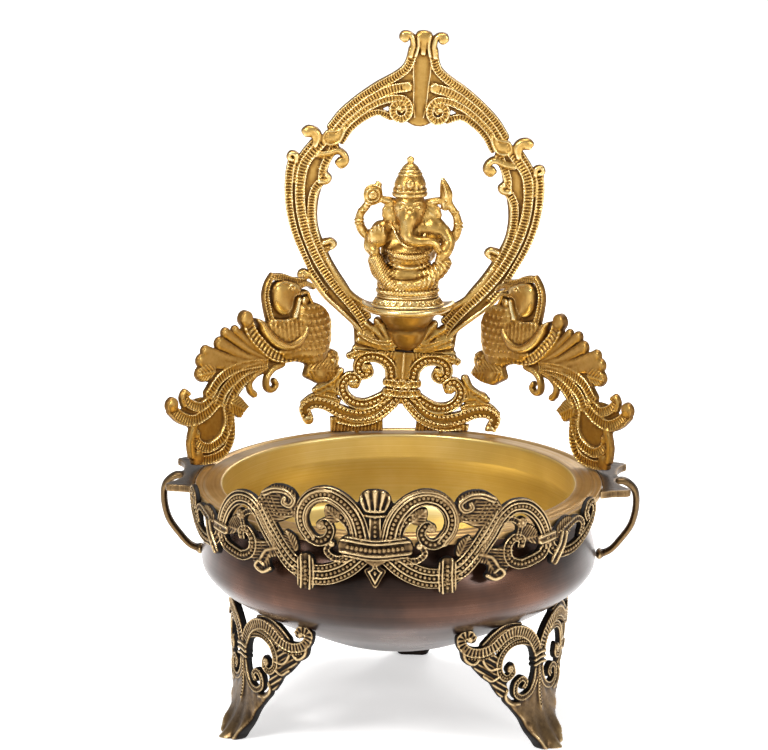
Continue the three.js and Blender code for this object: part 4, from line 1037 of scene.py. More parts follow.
def makeHandle(name, side):
    top = rimHeight - 2.5
    solid = Solid((128, -28, 103), (168, 60, 169), handle["cell"])
    hornX, hornY = handle["hornTip"]
    prongX, prongY = handle["prongTip"]
    # the ear lies against the edge of the flange and ends in a horn and a prong
    outline = [(136, 54), (131, 40), (137, 20), (138.8, 0), (137, -22), (145, -19), (hornX - 2, hornY),
               (hornX, hornY + 3), (hornX - 6, hornY + 12), (148, 4), (149, 18), (150, 36),
               (prongX - 3, prongY - 5),
               (prongX, prongY), (prongX - 6, prongY + 5)]
    place, x, y, z = solid.window((128, -28, top - 8), (168, 60, top + 8))
    sheet = Relief((126, -30), (170, 62), handle["cell"])
    sheet.plate(outline, 2.5)
    flat = np.column_stack([(x[:, :, 0].ravel() - 126) / handle["cell"],
                            (y[:, :, 0].ravel() + 30) / handle["cell"]])
    within = sampleGrid(sheet.inside, flat).reshape(x.shape[:2])[:, :, None]
    solid.blend(place, np.minimum(within * 0.9, 2.4 - np.abs(z - top)), 0.8)
    out = handle["reach"] - 2.6
    strap = [(150, top, 2.6), (out - 8, top - 0.3, 2.7), (out - 1.5, top - 6, 2.6), (out, 147, 2.5),
             (out - 3, 132, 2.4), (out - 11, 120, 2.3), (145, 113, 2.3), (137.5, 109.5, 2.5)]
    shifted = [(x, handle["centreY"], z, radius) for x, z, radius in strap]
    solid.limb(shifted, 1.6, 1.75)
    solid.limb([(hornX - 14, hornY + 2, top, 2.2), (hornX - 3, hornY + 2, top, 2.0),
                (hornX - 1.6, hornY + 2.4, top + 0.2, 1.4)], 1.0)
    solid.limb([(prongX - 16, prongY - 5, top, 2.2), (prongX - 5, prongY - 1, top, 2.2),
                (prongX - 1.8, prongY - 0.4, top, 1.4)], 1.0)
    solid.ball((137.6, handle["centreY"], 110), (2.6, 6.5, 3.6), 1.2)
    # kept clear of the flange and belly
    place, x, y, z = solid.window((126, -30, 100), (170, 62, 170))
    r = np.hypot(x, y)
    wall = np.interp(z, [100, 111, 125, 140, 150], [133, 134.6, 132, 128, 124])
    clear = np.where(z > rimHeight - 6.5, handle["edge"], wall)
    solid.field[place] = np.minimum(solid.field[place], r - clear)

    def mirror(points):
        return points * np.array([side, 1, 1])

    solid.finish(name + "_casting", mirror, darkBronze, [name], gain=0.35, reach=2.4)


panel = {
    "y": 128.0, "thickness": 5, "height": 59, "clock": 3.0, "lean": 3.5, "offsetX": 1.4, "cell": 0.5,
    "pitch": 3.0,
    "gap": 0.35,
}


def placePanel(points):
    points = np.asarray(points, float)
    lean, clock = math.radians(panel["lean"]), math.radians(panel["clock"])
    x = panel["offsetX"] + points[:, 0] * math.cos(lean) + points[:, 1] * math.sin(lean)
    z = rimHeight + points[:, 1] * math.cos(lean) - points[:, 0] * math.sin(lean)
    y = panel["y"] + panel["thickness"] / 2 - points[:, 2]
    return np.column_stack([x * math.cos(clock) - y * math.sin(clock),
                            x * math.sin(clock) + y * math.cos(clock), z])


def outFromPanel(points):
    clock = math.radians(panel["clock"])
    return np.tile([math.sin(clock), -math.cos(clock), 0], (len(points), 1))


def makePanel():
    t = panel["thickness"]
    sheet = Relief((-74, -8), (74, 66), panel["cell"])
    for side in (list, mirrored):
        sheet.plate(side([(11, -5), (49, -5), (50, 8), (36, 10), (22, 10), (12, 9)]), t - 0.8,
                    lambda u, v, d: 0.5 * np.cos(np.abs(u) * 2.6) * (v < 7), smooth=False)
        sheet.plate(side([(61, 31), (52, 35), (46, 44.5), (42, 42), (44, 36), (46, 26), (44, 19), (58, 20),
                          (63, 25)]),
                    t - 1.0, leafRule((44, 22), (52, 33), 2.8, 0.45))
        sheet.plate(side([(8, 70), (30, 70), (32, 63), (38, 57), (36, 51), (30, 54), (20, 58), (10, 54),
                          (4, 48)]),
                    t - 1.0, leafRule((10, 50), (24, 68), 3.0, 0.4, 0.8))
        sheet.ribbed(side([(38.5, 53.5), (30, 57.6), (21, 59), (12, 57.6)]), 5.4, t - 0.3, 2.3, 1.1, 4.2)
        sheet.scroll(side([(2, 33), (5, 26), (10, 19), (19, 12), (31, 9.5), (44, 13), (54, 17.3), (63, 17.3),
                           (68, 13), (65.5, 6)]),
                     13, t - 0.1, (2.6, -2.6), 1.6, 8, 1.0)
        sheet.ribbed(side([(5, 20), (16, 9.5), (30, 5), (43, 6.4)]), 6.4, t - 0.3, 2.6, 1.3)
        sheet.ribbed(side([(45, 20), (54, 22.5), (63, 22.5), (70, 17)]), 5, t - 0.3, 2.3, 1.1, 3.6)
        sheet.scroll(side([(1, 38), (8.6, 28), (16.2, 22.6), (25.6, 18.8), (35, 20.2), (41, 26), (42, 33),
                           (37.4, 38.5),
                           (32.5, 37), (33.5, 33)]), 9.6, t, (0,), 1.7, 7.4, 1.0)
        sheet.scroll(side([(2, 34), (7.3, 39), (8.7, 46), (14, 52), (21.9, 54), (29.5, 51.6), (32, 45.4),
                           (28.5, 40.4),
                           (24.1, 41.9), (25.3, 45.9)]), 9.6, t, (0,), 1.7, 7.4, 1.0)
        sheet.dome(side([(26.2, 45.4)])[0], 3.8, t - 0.4, 1.8, 6)
        sheet.dome(side([(34.6, 33.4)])[0], 3.8, t - 0.4, 1.8, 6)
        sheet.dome(side([(65, 5)])[0], 3.8, t - 0.2, 1.6)
        sheet.band(side([(44, 42), (48, 36), (55, 31), (62, 27)]), 5, t - 0.4, [(0, 1.6, 1.0)], 4)
        sheet.band(side([(45, 26), (52, 28), (58, 25)]), 4.4, t - 0.5, [(0, 1.4, 1.0)], 3.4)
    sheet.plate([(-10, 70), (-8, 62), (-5, 47), (-3, 36), (3, 36), (5, 47), (8, 62), (10, 70)], t - 0.4,
                lambda u, v, d: 0.9 * np.sqrt(np.clip(1 - (u / 9) ** 2, 0, 1)), smooth=False)
    sheet.band([(0, 60), (0, 48), (0, 36)], 2.2, t + 0.9, [(0, 1.0, 0.7)], 1.4)
    for v in (28.8, 35.6):
        sheet.ribbed([(-11, v + 0.4), (0, v - 0.4), (11, v + 0.4)], 6.2, t + 0.8, 2.6, 1.0)
    sheet.plate([(-7, 27), (0, 20), (7, 27), (3, 33), (-3, 33)], t - 0.5)

    def level(u, v, w):
        return (panel["height"] - v) + 0 * u + 0 * w

    def clearOfRim(u, v, w):
        lean = math.radians(panel["lean"])
        return np.minimum(level(u, v, w), (v * math.cos(lean) - u * math.sin(lean)) - panel["gap"] + 0 * w)

    castRelief("back_panel_casting", sheet, placePanel, antiqueGold, ["back_panel"],
               cut=clearOfRim,
               sideLevel=0.3, gain=0.5)
    beadRows("back_panel_beads", sheet.rows, placePanel, outFromPanel, panel["pitch"], antiqueGold)


def makeArch():
    t = panel["thickness"]
    sheet = Relief((-92, 56), (92, 293), panel["cell"])
    for side in (list, mirrored):
        # plain core plate, then the layers laid on it
        sheet.plate(side([(-1, 284), (4, 284), (8, 272), (15, 260), (30, 250), (45, 238), (58, 225),
                          (63, 214), (54, 207),
                          (47, 219), (39, 225), (30, 230), (18, 235), (8, 224), (-1, 222)]), t - 1.6)
        sheet.plate(side([(66, 212), (74, 202), (86, 188), (89, 172), (87, 156), (82, 141), (74, 124),
                          (64, 107), (50, 90),
                          (38, 76), (33, 57), (-1, 57), (-1, 66), (12, 68), (28, 82), (42, 104), (52, 118),
                          (60, 132), (66, 147),
                          (67, 162), (65, 174), (62, 184), (60, 198)]), t - 1.6)
        sheet.ribbed(side([(7, 276), (8.5, 268), (11, 262.5), (17, 257), (30.4, 248.5), (44.3, 237.5),
                           (54, 228), (61, 218)]), 7.1, t - 0.4, 2.0, 1.4, 6.2, slant=0.4)
        sheet.ribbed(side([(9.4, 249.7), (21.6, 246.6), (35.7, 238.6), (46.8, 229), (55.5, 219), (60, 211)]),
                     7.7, t - 0.1, 2.2, 1.2, 6.2)
        sheet.dome(side([(9.2, 249.6)])[0], 3.4, t - 0.2, 0.9)
        sheet.ribbed(side([(13.5, 233.5), (12, 236), (15, 237.6), (18.4, 234.5), (17.5, 229), (12.5, 226.5),
                           (7.8, 229.8), (7.6, 236),
                           (11.4, 240.6), (18, 241), (29.8, 237), (41, 229.5), (50.6, 220), (55, 212)]), 6.3,
                           t + 0.2, 2.3, 1.1, 5.5)
        sheet.dome(side([(14.2, 234)])[0], 2.2, t + 0.2, 0.9)
        sheet.ribbed(side([(20, 227.5), (29.4, 230.2), (39.3, 225), (47.6, 217), (53, 208)]), 5.5, t - 0.8,
                     2.0, 1.4, 4.5)
        # shoulder: bud, pointed leaf and hook
        sheet.plate(side([(68, 206), (67, 212), (71, 217), (78, 218), (82, 214), (79, 210), (74, 209),
                          (74, 203)]), t + 0.2, lambda u, v, d: crowned(d, 3.0, 1.2))
        sheet.dome(side([(76.4, 213.4)])[0], 3.6, t + 0.6, 1.4)
        sheet.band(side([(71, 204), (69.5, 211), (74, 215.4), (79, 214), (78.5, 211), (75, 211.5)]), 3.6,
                   t + 0.8, [(0, 1.3, 0.9)], 2.8)
        sheet.plate(side([(67, 209), (64.5, 215), (58, 216), (51.5, 219), (52.5, 211), (56, 206),
                          (63, 205)]), t + 0.9,
                    lambda u, v, d: 0.9 * np.clip(1 - d / 1.1, 0, 1) - 0.8 * np.exp(-((d - 1.9) / 0.5) ** 2))
        sheet.band(side([(68, 197.5), (61, 199), (55, 201), (50.5, 198), (49.3, 193.8), (52.4, 190.6),
                         (55, 192.8)]), 6.4, t - 0.3,
                   [(0.2, 2.2, 1.2)], 4.4)
        sheet.dome(side([(52.6, 193.4)])[0], 3.6, t - 0.2, 1.6)
        # three ribbed bands down the side
        sheet.ribbed(side([(86.5, 193), (88, 185), (88.2, 171.2), (86.4, 156.5), (82, 141.1), (75, 125.9),
                           (68, 113), (58, 100)]), 6.9, t - 0.6, 2.2, 1.4, 4.2)
        sheet.band(side([(84, 192.5), (84.5, 196.5), (88, 197.4), (89.4, 194.6), (87, 193)]), 4.6, t,
                   [(0, 1.6, 1.0)], 3.6)
        sheet.ribbed(side([(66, 208), (72, 200.5), (78, 191), (80.3, 176.1), (79.4, 161.3), (76, 146.7),
                           (70.2, 132.1), (62, 117.6),
                           (51, 103.2), (39, 90.2), (31, 80), (24, 68)]), 8.2, t, 2.3, 1.4, 6.5)
        sheet.ribbed(side([(64, 181), (69.8, 173), (71.6, 161.9), (70, 147.1), (65, 132.5), (56.7, 118),
                           (45.7, 103.6), (36.2, 93),
                           (27, 83)]), 6.9, t - 0.5, 2.0, 1.4, 5.0)
        sheet.ribbed(side([(58, 204), (62, 196), (65, 188), (65.5, 181)]), 7, t - 0.5, 2.2, 1.2, 6)
        sheet.ribbed(side([(73, 206), (79, 198), (84, 189), (84.6, 178)]), 5.4, t - 0.4, 2.2, 1.2, 4)
        sheet.band(side([(66, 178.6), (62, 178.8), (60.4, 181.4), (62.2, 183.8)]), 5.2, t, [(0, 1.8, 1.1)], 4)
        sheet.plate(side([(62, 137.5), (55.5, 137.5), (52.5, 134), (55, 130.5), (58, 127), (54, 118),
                          (46, 108), (38, 98), (28, 90),
                          (22, 92), (22, 87), (34, 88), (46, 100), (58, 116), (64, 130)]), t - 1.0,
                    lambda u, v, d: 0.45 * np.cos(2.6 * (v + 0.4 * np.abs(u))))
        sheet.band(side([(60.5, 135), (56.5, 136.2), (54, 134), (55.6, 131.8)]), 5.2, t - 0.2,
                   [(0, 1.8, 1.1)], 4)
        sheet.band(side([(58, 122), (49, 108), (39, 97.5), (27, 91.5), (8, 91)]), 4.2, t - 0.4,
                   [(0, 1.8, 0.8)], 4.6)
        # outer smooth rib that ends in the knob the bird holds
        sheet.band(side([(72, 112), (68, 108.3), (59, 97), (46.3, 86), (34, 75), (28, 66)]), 4.6, t - 0.4,
                   [(0, 1.9, 0.9)], 4)
        sheet.dome(side([(74.6, 110.6)])[0], 4.6, t - 0.6, 2.2, 5, 0.4)
        # fan leaves under the shelf
        for k in range(6):
            turn = math.radians(4 + 15 * k)
            c, q = math.cos(turn), math.sin(turn)
            start, reachOut = (7 + 2 * c, 57 + 2 * q), 27 - 1.2 * k
            sheet.band(side([start, (7 + 0.55 * reachOut * c, 57.5 + 0.55 * reachOut * q),
                             (7 + reachOut * c, 57 + reachOut * q)]),
                       2.6, t - 0.3, [(0, 1.6, 1.0), (-0.6, 0.6, 0.5), (0.6, 0.6, 0.5)], 6.6)
        for bottom, top in (((9, 62), (27, 77)), ((9, 62), (20, 80)), ((9, 68), (13, 82)),
                            ((14, 60), (31, 70))):
            sheet.band(side([bottom, ((bottom[0] + top[0]) / 2, (bottom[1] + top[1]) / 2 + 0.6), top]), 3.0,
                       t + 0.1,
                       [(0, 1.4, 1.0)], 6.4)
        # finial: side curl and flutes
        sheet.plate(side([(10, 270), (8, 279), (9, 284), (13, 281), (16.5, 284), (15, 288), (9, 287.5),
                          (5, 285), (3, 274)]), t - 0.8)
        sheet.band(side([(8.5, 272), (7.2, 280), (9.5, 286), (14.4, 286.6), (15.4, 284), (12.6, 283)]), 5, t,
                   [(0, 1.8, 1.1)], 4)
        sheet.dome(side([(13.2, 283.6)])[0], 3.2, t, 1.4)
        sheet.band(side([(5, 272), (3.6, 279), (4.2, 286)]), 3.2, t + 0.2, [(0, 1.3, 0.9)], 3)
        # plain field's raised edge
        sheet.band(side([(5.6, 272), (6, 262), (5, 250), (4.6, 240), (3, 228)]), 1.8, t - 0.8,
                   [(0, 0.8, 0.7)])
    sheet.plate([(-6, 284), (-5, 288.4), (0, 289.8), (5, 288.4), (6, 284), (3, 281), (1.8, 272), (-1.8, 272),
                 (-3, 281)], t,
                lambda u, v, d: 0.8 * np.clip(d / 2, 0, 1))
    sheet.ribbed([(-29, 69), (-22, 66), (-12, 65), (-4.5, 68), (3.3, 68.2), (11, 65)], 4.2, t + 0.8, 1.9, 0.6)
    sheet.ribbed([(29, 69), (22, 66.4), (12, 63.5), (4.5, 64.4), (-3.3, 65.2), (-11, 62)], 4.2, t + 0.5, 1.9,
                 0.6)
    sheet.plate([(-9, 57), (9, 57), (12, 66), (0, 72), (-12, 66)], t - 0.6)

    def aboveJoint(u, v, w):
        return (v - panel["height"] - panel["gap"]) + 0 * u + 0 * w

    castRelief("arch_casting", sheet, placePanel, antiqueGold, ["arch_frame"], adaptivity=0.35,
               cut=aboveJoint, sideLevel=0.3,
               gain=0.5)


shelf = {"radius": 34, "thickness": 6, "rise": 97, "bracketRadius": 21, "bracketDrop": 30, "gap": 0.35}
shelfFront = panel["y"] - panel["thickness"] / 2 - shelf["gap"]
shelfCentreX = panel["offsetX"] + shelf["rise"] * math.sin(math.radians(panel["lean"]))
shelfTop = rimHeight + shelf["rise"]


# Turns a point set about the upright axis by the panel's clock
def clockwise(points):
    clock = math.radians(panel["clock"])
    x, y = points[:, 0].copy(), points[:, 1].copy()
    return np.column_stack([x * math.cos(clock) - y * math.sin(clock),
                            x * math.sin(clock) + y * math.cos(clock), points[:, 2]])


def movePiece(piece, offset):
    mesh = piece.data
    points = np.empty(len(mesh.vertices) * 3, np.float32)
    mesh.vertices.foreach_get("co", points)
    moved = clockwise(points.reshape(-1, 3).astype(float) + np.array(offset) * mm)
    mesh.vertices.foreach_set("co", moved.astype(np.float32).ravel())
    mesh.update()


# Half-turned piece that stands against the panel, its flat back closed
def halfTurned(name, profile, nodes, relief):
    piece = turnedPiece(name, profile, 96, antiqueGold, -math.pi)
    mesh = piece.data
    work = bmesh.new()
    work.from_mesh(mesh)
    edges = [edge for edge in work.edges if edge.is_boundary]
    bmesh.ops.holes_fill(work, edges=edges, sides=0)
    bmesh.ops.recalc_face_normals(work, faces=work.faces)
    work.to_mesh(mesh)
    work.free()
    layer = mesh.attributes.new("relief", "FLOAT", "POINT")
    values = [relief(vertex.co.x / mm, vertex.co.y / mm, vertex.co.z / mm) for vertex in mesh.vertices]
    layer.data.foreach_set("value", values)
    movePiece(piece, (shelfCentreX, shelfFront, 0))
    return finishPiece(piece, nodes)


def makeShelf():
    r, top, t = shelf["radius"], shelfTop, shelf["thickness"]
    rim = [(0, top - t), (r - 7, top - t), (r - 3.4, top - t + 0.2), (r - 1.8, top - t + 0.9),
           (r - 0.6, top - t + 2.0),
           (r, top - t / 2), (r - 0.2, top - 1.8), (r - 0.9, top - 0.7), (r - 2, top - 0.15),
           (r - 3.2, top - 0.3),
           (r - 4.2, top - 0.8), (r - 6, top - 0.9), (r - 14, top - 0.8), (0, top - 0.7)]
    halfTurned("shelf_plate", rim, ["shelf"], lambda x, y, z: min(1, 0.45 + 0.4 * (math.hypot(x, y) > r - 4)))
    under = top - t - shelf["gap"]
    drop = shelf["bracketDrop"]
    b = shelf["bracketRadius"]
    line = [(0, under - drop), (3, under - drop + 0.2), (6, under - drop + 1.6),
            (b * 0.5, under - drop * 0.8),
            (b * 0.62, under - drop * 0.64), (b * 0.68, under - drop * 0.52), (b * 0.66, under - drop * 0.44),
            (b * 0.74, under - drop * 0.36), (b * 0.86, under - drop * 0.26), (b * 0.95, under - drop * 0.14),
            (b, under - drop * 0.07), (b, under), (0, under)]
    line = [tuple(point) for point in smoothPath(line[:11], 0.9)[0]] + line[11:]
    halfTurned("shelf_bracket_cup", line, ["shelf_bracket"],
               lambda x, y, z: 0.55 - 0.25 * math.exp(-((z - under + drop * 0.44) / 2) ** 2))


pedestal = {"radius": 26, "depth": 15.5, "height": 9, "petals": 14}
seatY = shelfFront - shelf["radius"] / 2 + 1


def makePedestal():
    solid = Solid((-28, -18, -1), (28, 18, 11), 0.4)
    ratio = pedestal["depth"] / pedestal["radius"]
    h, r = pedestal["height"], pedestal["radius"]
    solid.turned((0, 0), [(r - 0.6, 0), (r, 0.7), (r - 0.4, 1.4), (r - 1.2, 1.7), (r - 3.4, 5.4),
                          (r - 4.8, 6.0),
                          (r - 4.0, 6.5), (r - 3.9, 7.4), (r - 5.0, 7.8), (r - 4.4, 8.2), (r - 4.5, h)],
                          ratio, 0.0)
    place, x, y, z = solid.window((-28, -18, 0.6), (28, 18, 6.0))
    turn = np.arctan2(y / ratio, x) * pedestal["petals"] / math.pi
    petal = np.abs(turn - np.round(turn)) * 2
    rise = np.clip((z - 1.6) / 3.9, 0, 1)
    ring = np.exp(-((np.hypot(petal, (1 - rise) * 1.0) - 0.76) / 0.15) ** 2)
    middle = np.exp(-((np.hypot(petal, (1 - rise) * 1.0) - 0.3) / 0.18) ** 2)
    near = np.clip(1 - np.abs(solid.field[place]) / 2, 0, 1)
    solid.field[place] += (0.8 * ring + 0.6 * middle - 0.3) * near * (z > 1.4) * (z < 5.8)

    def place(points):
        return clockwise(points + np.array([shelfCentreX, seatY, shelfTop + shelf["gap"]]))

    solid.finish("lotus_pedestal_petals", place, antiqueGold, ["lotus_pedestal"], gain=0.9,
                 reach=1.2)


figure = {"cell": 0.42, "lean": 0.02, "gap": 0.35}


# A calm elephant-headed figure, drawn 97 high with x to the viewer's right and -y to the front
def makeFigure():
    solid = Solid((-41, -19, -1), (41, 14, 100), figure["cell"])
    # seat and folded legs
    solid.turned((0, -1), [(21.5, 0), (22.6, 1.2), (22.6, 2.6), (21, 3.6), (22, 5), (22, 9), (20, 11)], 0.62,
                 0.0)
    solid.ball((0, 0, 14), (21, 11, 9), 2.0)
    solid.ball((0, 1, 30), (20, 9.5, 14), 2.5)
    solid.ball((0, 2, 45), (18, 8, 12), 2.5)
    solid.limb([(-10, -4, 12, 6), (-19, -6, 16, 6.5), (-23, -6, 24, 5.6)], 1.2)
    solid.limb([(-23, -6, 25, 5), (-19, -8.6, 15, 4.8), (-11, -10, 7, 4.2), (-6, -11, 5, 3.2)], 0.8)
    solid.limb([(8, -4, 14, 6), (18, -6, 15, 6.6), (25, -6, 22, 5.4)], 1.2)
    solid.limb([(24, -7, 19, 4.8), (15, -10, 11, 4.8), (6, -11, 8, 4.2), (0, -12, 7.5, 3.0)], 0.8)
    for x, z in ((-8, 4.6), (-5.6, 4.2), (-3.4, 4.2), (-1.4, 7.6), (0.8, 6.6), (2.8, 6.4)):
        solid.ball((x, -13.2, z), (1.3, 1.6, 1.2), 0.4)
    # belly with a girdle and a chain
    solid.ball((0.5, -4.5, 27), (15.5, 9.5, 10.5), 1.0)
    solid.limb([(-15, -5, 31, 1.5), (-8, -12, 28.6, 1.9), (1, -14.2, 28, 2.2), (10, -12, 28.8, 1.9),
                (16, -5, 31, 1.5)], 0.5)
    solid.limb([(-13, -7, 22, 1.2), (-6, -12, 20.4, 1.4), (2, -13.2, 20, 1.4), (10, -11, 20.6, 1.4),
                (15, -6, 22, 1.2)], 0.4)
    solid.limb([(-13, -3, 50, 1.0), (-9, -7.6, 43, 1.1), (-5, -9.4, 37, 1.1), (0, -11.6, 34.6, 1.2),
                (6, -10.6, 36, 1.1), (11, -7, 43, 1.0)], 0.4)
    # shoulders, raised palm and resting hand
    solid.ball((-19, -1, 44), (8, 6.5, 8), 1.6)
    solid.ball((17.5, 0, 45), (9, 6, 9), 1.6)
    solid.limb([(-25, -2, 41, 5.2), (-27, -4, 34, 4.8), (-24, -7, 31, 4.2)], 1.0)
    solid.ball((-22, -7.5, 41.5), (7.2, 3.8, 8.2), 0.8, 0.15)
    for x, z in ((-26.4, 46), (-24, 48.4), (-21.4, 49.2), (-18.6, 48)):
        solid.limb([(x + 0.8, -9.6, z - 7, 1.2), (x, -9.4, z, 1.2)], 0.4)
    solid.limb([(24, -1, 44, 5), (28, -3, 36, 4.6), (26, -7, 30, 4.2)], 1.0)
    solid.ball((23.6, -9, 28.5), (4.6, 3.8, 4.4), 0.8)
    solid.limb([(26, -4, 33, 4.2), (23.5, -8, 29, 4.0), (21.5, -9, 24, 3.2)], 0.8)
    # two rear arms, their bangles and what they hold
    solid.limb([(-22, 2, 40, 4), (-30, 1, 41.5, 3.7), (-34.4, 0, 48, 3.3), (-34.6, 0, 55, 3.0),
                (-30.5, -0.5, 61.5, 3.0), (-28, -1, 65, 3.0)], 0.9)
    solid.limb([(22, 2, 38, 4), (30.5, 1, 38, 3.7), (34, 0, 45.5, 3.3), (33.4, 0, 53, 3.0),
                (29.6, -0.5, 60, 2.8), (27.4, -1, 64, 2.8)], 0.9)
    for x, z in ((-34.8, 49.5), (-35, 52), (-32.6, 59), (34.6, 46.5), (34.4, 49.2), (31.4, 57.6)):
        solid.ball((x, 0, z), (3.9, 3.9, 1.1), 0.3)
    solid.ball((-25.8, -1, 70), (6.7, 3.0, 7.4), 0.6)
    solid.ball((-22, -1, 76.5), (2.4, 2.2, 3.4), 0.8, 0.4)
    solid.ball((-25.8, -3.6, 70), (3.0, 1.6, 3.4), 0.3)
    solid.limb([(25.2, -1, 62, 3.6), (25.4, -1, 70, 4.6), (24, -1, 76, 3.2), (22.8, -1, 81, 1.3)], 0.6, 0.75)
    solid.limb([(25.3, -4, 66, 1.0), (25.2, -4.2, 71, 1.2), (23.6, -3.6, 77, 0.8)], 0.3)
    solid.limb([(-20, 0, 66.5, 2.6), (-14, 1, 65, 3.2), (-9, 2, 63, 3.4)], 0.8)
    solid.limb([(21, 0, 65.5, 2.6), (15, 1, 64, 3.2), (9, 2, 62, 3.4)], 0.8)
    # ears, head, trunk and tusk
    solid.ball((-12.5, 0, 55), (6.5, 2.6, 9.5), 0.9, 0.3)
    solid.ball((14, 0, 53.5), (8.5, 2.8, 10.5), 0.9, -0.35)
    solid.ball((0, -2, 62), (11.6, 10, 11.5), 1.0)
    solid.ball((-0.4, -5, 55), (9.2, 7.6, 8.5), 2.0)
    solid.limb([(-0.6, -10, 55, 6.2), (-2.2, -12.2, 47, 4.9), (-0.6, -13.6, 41.4, 4.3), (6, -14.4, 39, 3.7),
                (13, -14.2, 39.2, 3.2),
                (18.4, -13.4, 37.4, 2.8), (20.6, -12.8, 33, 2.7)], 1.4)
    solid.limb([(-5.6, -10, 49.5, 1.3), (-7.6, -11.6, 45.6, 0.9)], 0.3)
    for side in (-1, 1):
        solid.limb([(side * 8.4, -8.2, 62.6, 0.5), (side * 6, -10.4, 63.4, 0.8),
                    (side * 3.6, -11.6, 62.6, 0.5)], 0.2)
        solid.limb([(side * 9.2, -7, 65, 0.5), (side * 6, -9.8, 66.4, 0.6), (side * 3, -11.4, 65.4, 0.5)],
                   0.2)
        solid.ball((side * 6.1, -10.6, 62.2), (1.6, 0.9, 0.9), 0.2)
    for k in range(10):
        turn = k * math.pi / 5
        solid.ball((-0.3 + 3.2 * math.cos(turn), -12.0 + 0.2 * abs(math.sin(turn)),
                    59.5 + 3.2 * math.sin(turn)), (0.9, 0.9, 0.9), 0.3)
    solid.ball((-0.3, -12.4, 59.5), (1.2, 0.9, 1.2), 0.2)
    # tiered crown with a ball on top
    solid.turned((0, -1), [(11.6, 69), (12.6, 70), (12.6, 71.6), (11.4, 72.2), (12.2, 73), (12.0, 74.4),
                           (10.8, 75), (11.2, 78), (9.8, 82), (8.2, 84),
                           (8.8, 84.8), (8.2, 85.8), (7.0, 86.2), (7.6, 87), (6.8, 88), (5.6, 88.6),
                           (6.0, 89.4), (4.2, 91.4),
                           (2.8, 92), (2.2, 93), (2.2, 93.4)], 0.86, 0.3)
    solid.ball((0, -1, 95), (2.8, 2.6, 2.4), 0.4)
    solid.ball((0, -10.6, 79), (3.0, 1.6, 3.4), 0.4)
    for x, z in ((-7.4, 77), (7.4, 77), (-4.6, 76), (4.6, 76)):
        solid.ball((x, -1 - 9 * math.sqrt(max(0.0, 1 - (x / 11.4) ** 2)), z), (1.0, 1.0, 1.2), 0.3)
    # cloth folds, ear ribs and fine ornament
    solid.engrave((-30, -18, 8), (-9, 2, 28), lambda x, y, z: stripes(z + 0.5 * x + 0.05 * x * x, 2.8, 0.34))
    solid.engrave((8, -18, 6), (30, 2, 24), lambda x, y,
                  z: stripes(x * 0.8 - z * 0.7 + 0.03 * z * z, 2.6, 0.34))
    solid.engrave((7, -8, 42), (26, 2, 62), lambda x, y, z: stripes(np.arctan2(x - 4, z - 66), 0.19, 0.2))
    solid.engrave((-26, -8, 42), (-8, 0, 62), lambda x, y, z: stripes(np.arctan2(x + 4, z - 66), 0.22, 0.16))
    solid.engrave((-16, -18, 26), (17, -6, 31), lambda x, y, z: stripes(x, 1.7, 0.4) * np.cos(z * 2.6))
    solid.engrave((-24, -18, 0.5), (24, -4, 9), lambda x, y, z: stripes(x, 2.4, 0.4) * np.cos(z * 2.2 + 0.8))
    solid.engrave((-31, -6, 62), (-19, 0, 78), lambda x, y, z: stripes(np.hypot(x + 25.8, z - 70), 2.4, 0.35))
    solid.engrave((-13, -12, 75), (13, 12, 83), lambda x, y,
                  z: -0.3 * np.cos(np.arctan2(y + 1, x) * 14) * (z < 78))
    place, x, y, z = solid.window((-41, -19, -1), (41, 14, 100))
    solid.field[place] = np.minimum(solid.field[place], z)
    behind = shelfFront - seatY
    solid.field[place] = np.minimum(solid.field[place], behind - y)

    def place(points):
        moved = points + np.array([shelfCentreX, seatY,
                                   shelfTop + shelf["gap"] + pedestal["height"] + figure["gap"]])
        moved[:, 0] += points[:, 2] * figure["lean"]
        return clockwise(moved)

    solid.finish("seated_figure_casting", place, antiqueGold, ["seated_figure"],
                 adaptivity=0.25, gain=0.62, reach=1.3)


bird = {"cell": 0.5, "tail": (130.5, 35.0), "head": (49.9, 128.0), "run": 122.5, "gap": 0.35, "shave": 1.5,
        "setBack": 1.2}


# Overlapping feather scales: each rises to its rounded rim and has a short rib
def scales(u, v, size):
    v = v + 0.25 * size * np.sin(u / size * 0.7)
    out = np.zeros_like(u)
    for k in (0, 1):
        row = np.floor(v / size) + k
        shift = 0.5 * (row % 2)
        centre = (np.floor(u / size - shift) + 0.5 + shift) * size
        away = np.hypot((u - centre) * 1.3, v - row * size) / size
        scale = -0.5 + 1.0 * away + 0.35 * np.exp(-((u - centre) / 0.5) ** 2)
        out = np.where(away < 0.82, scale, out) if k else scale
    return np.clip(out, -0.6, 0.7)


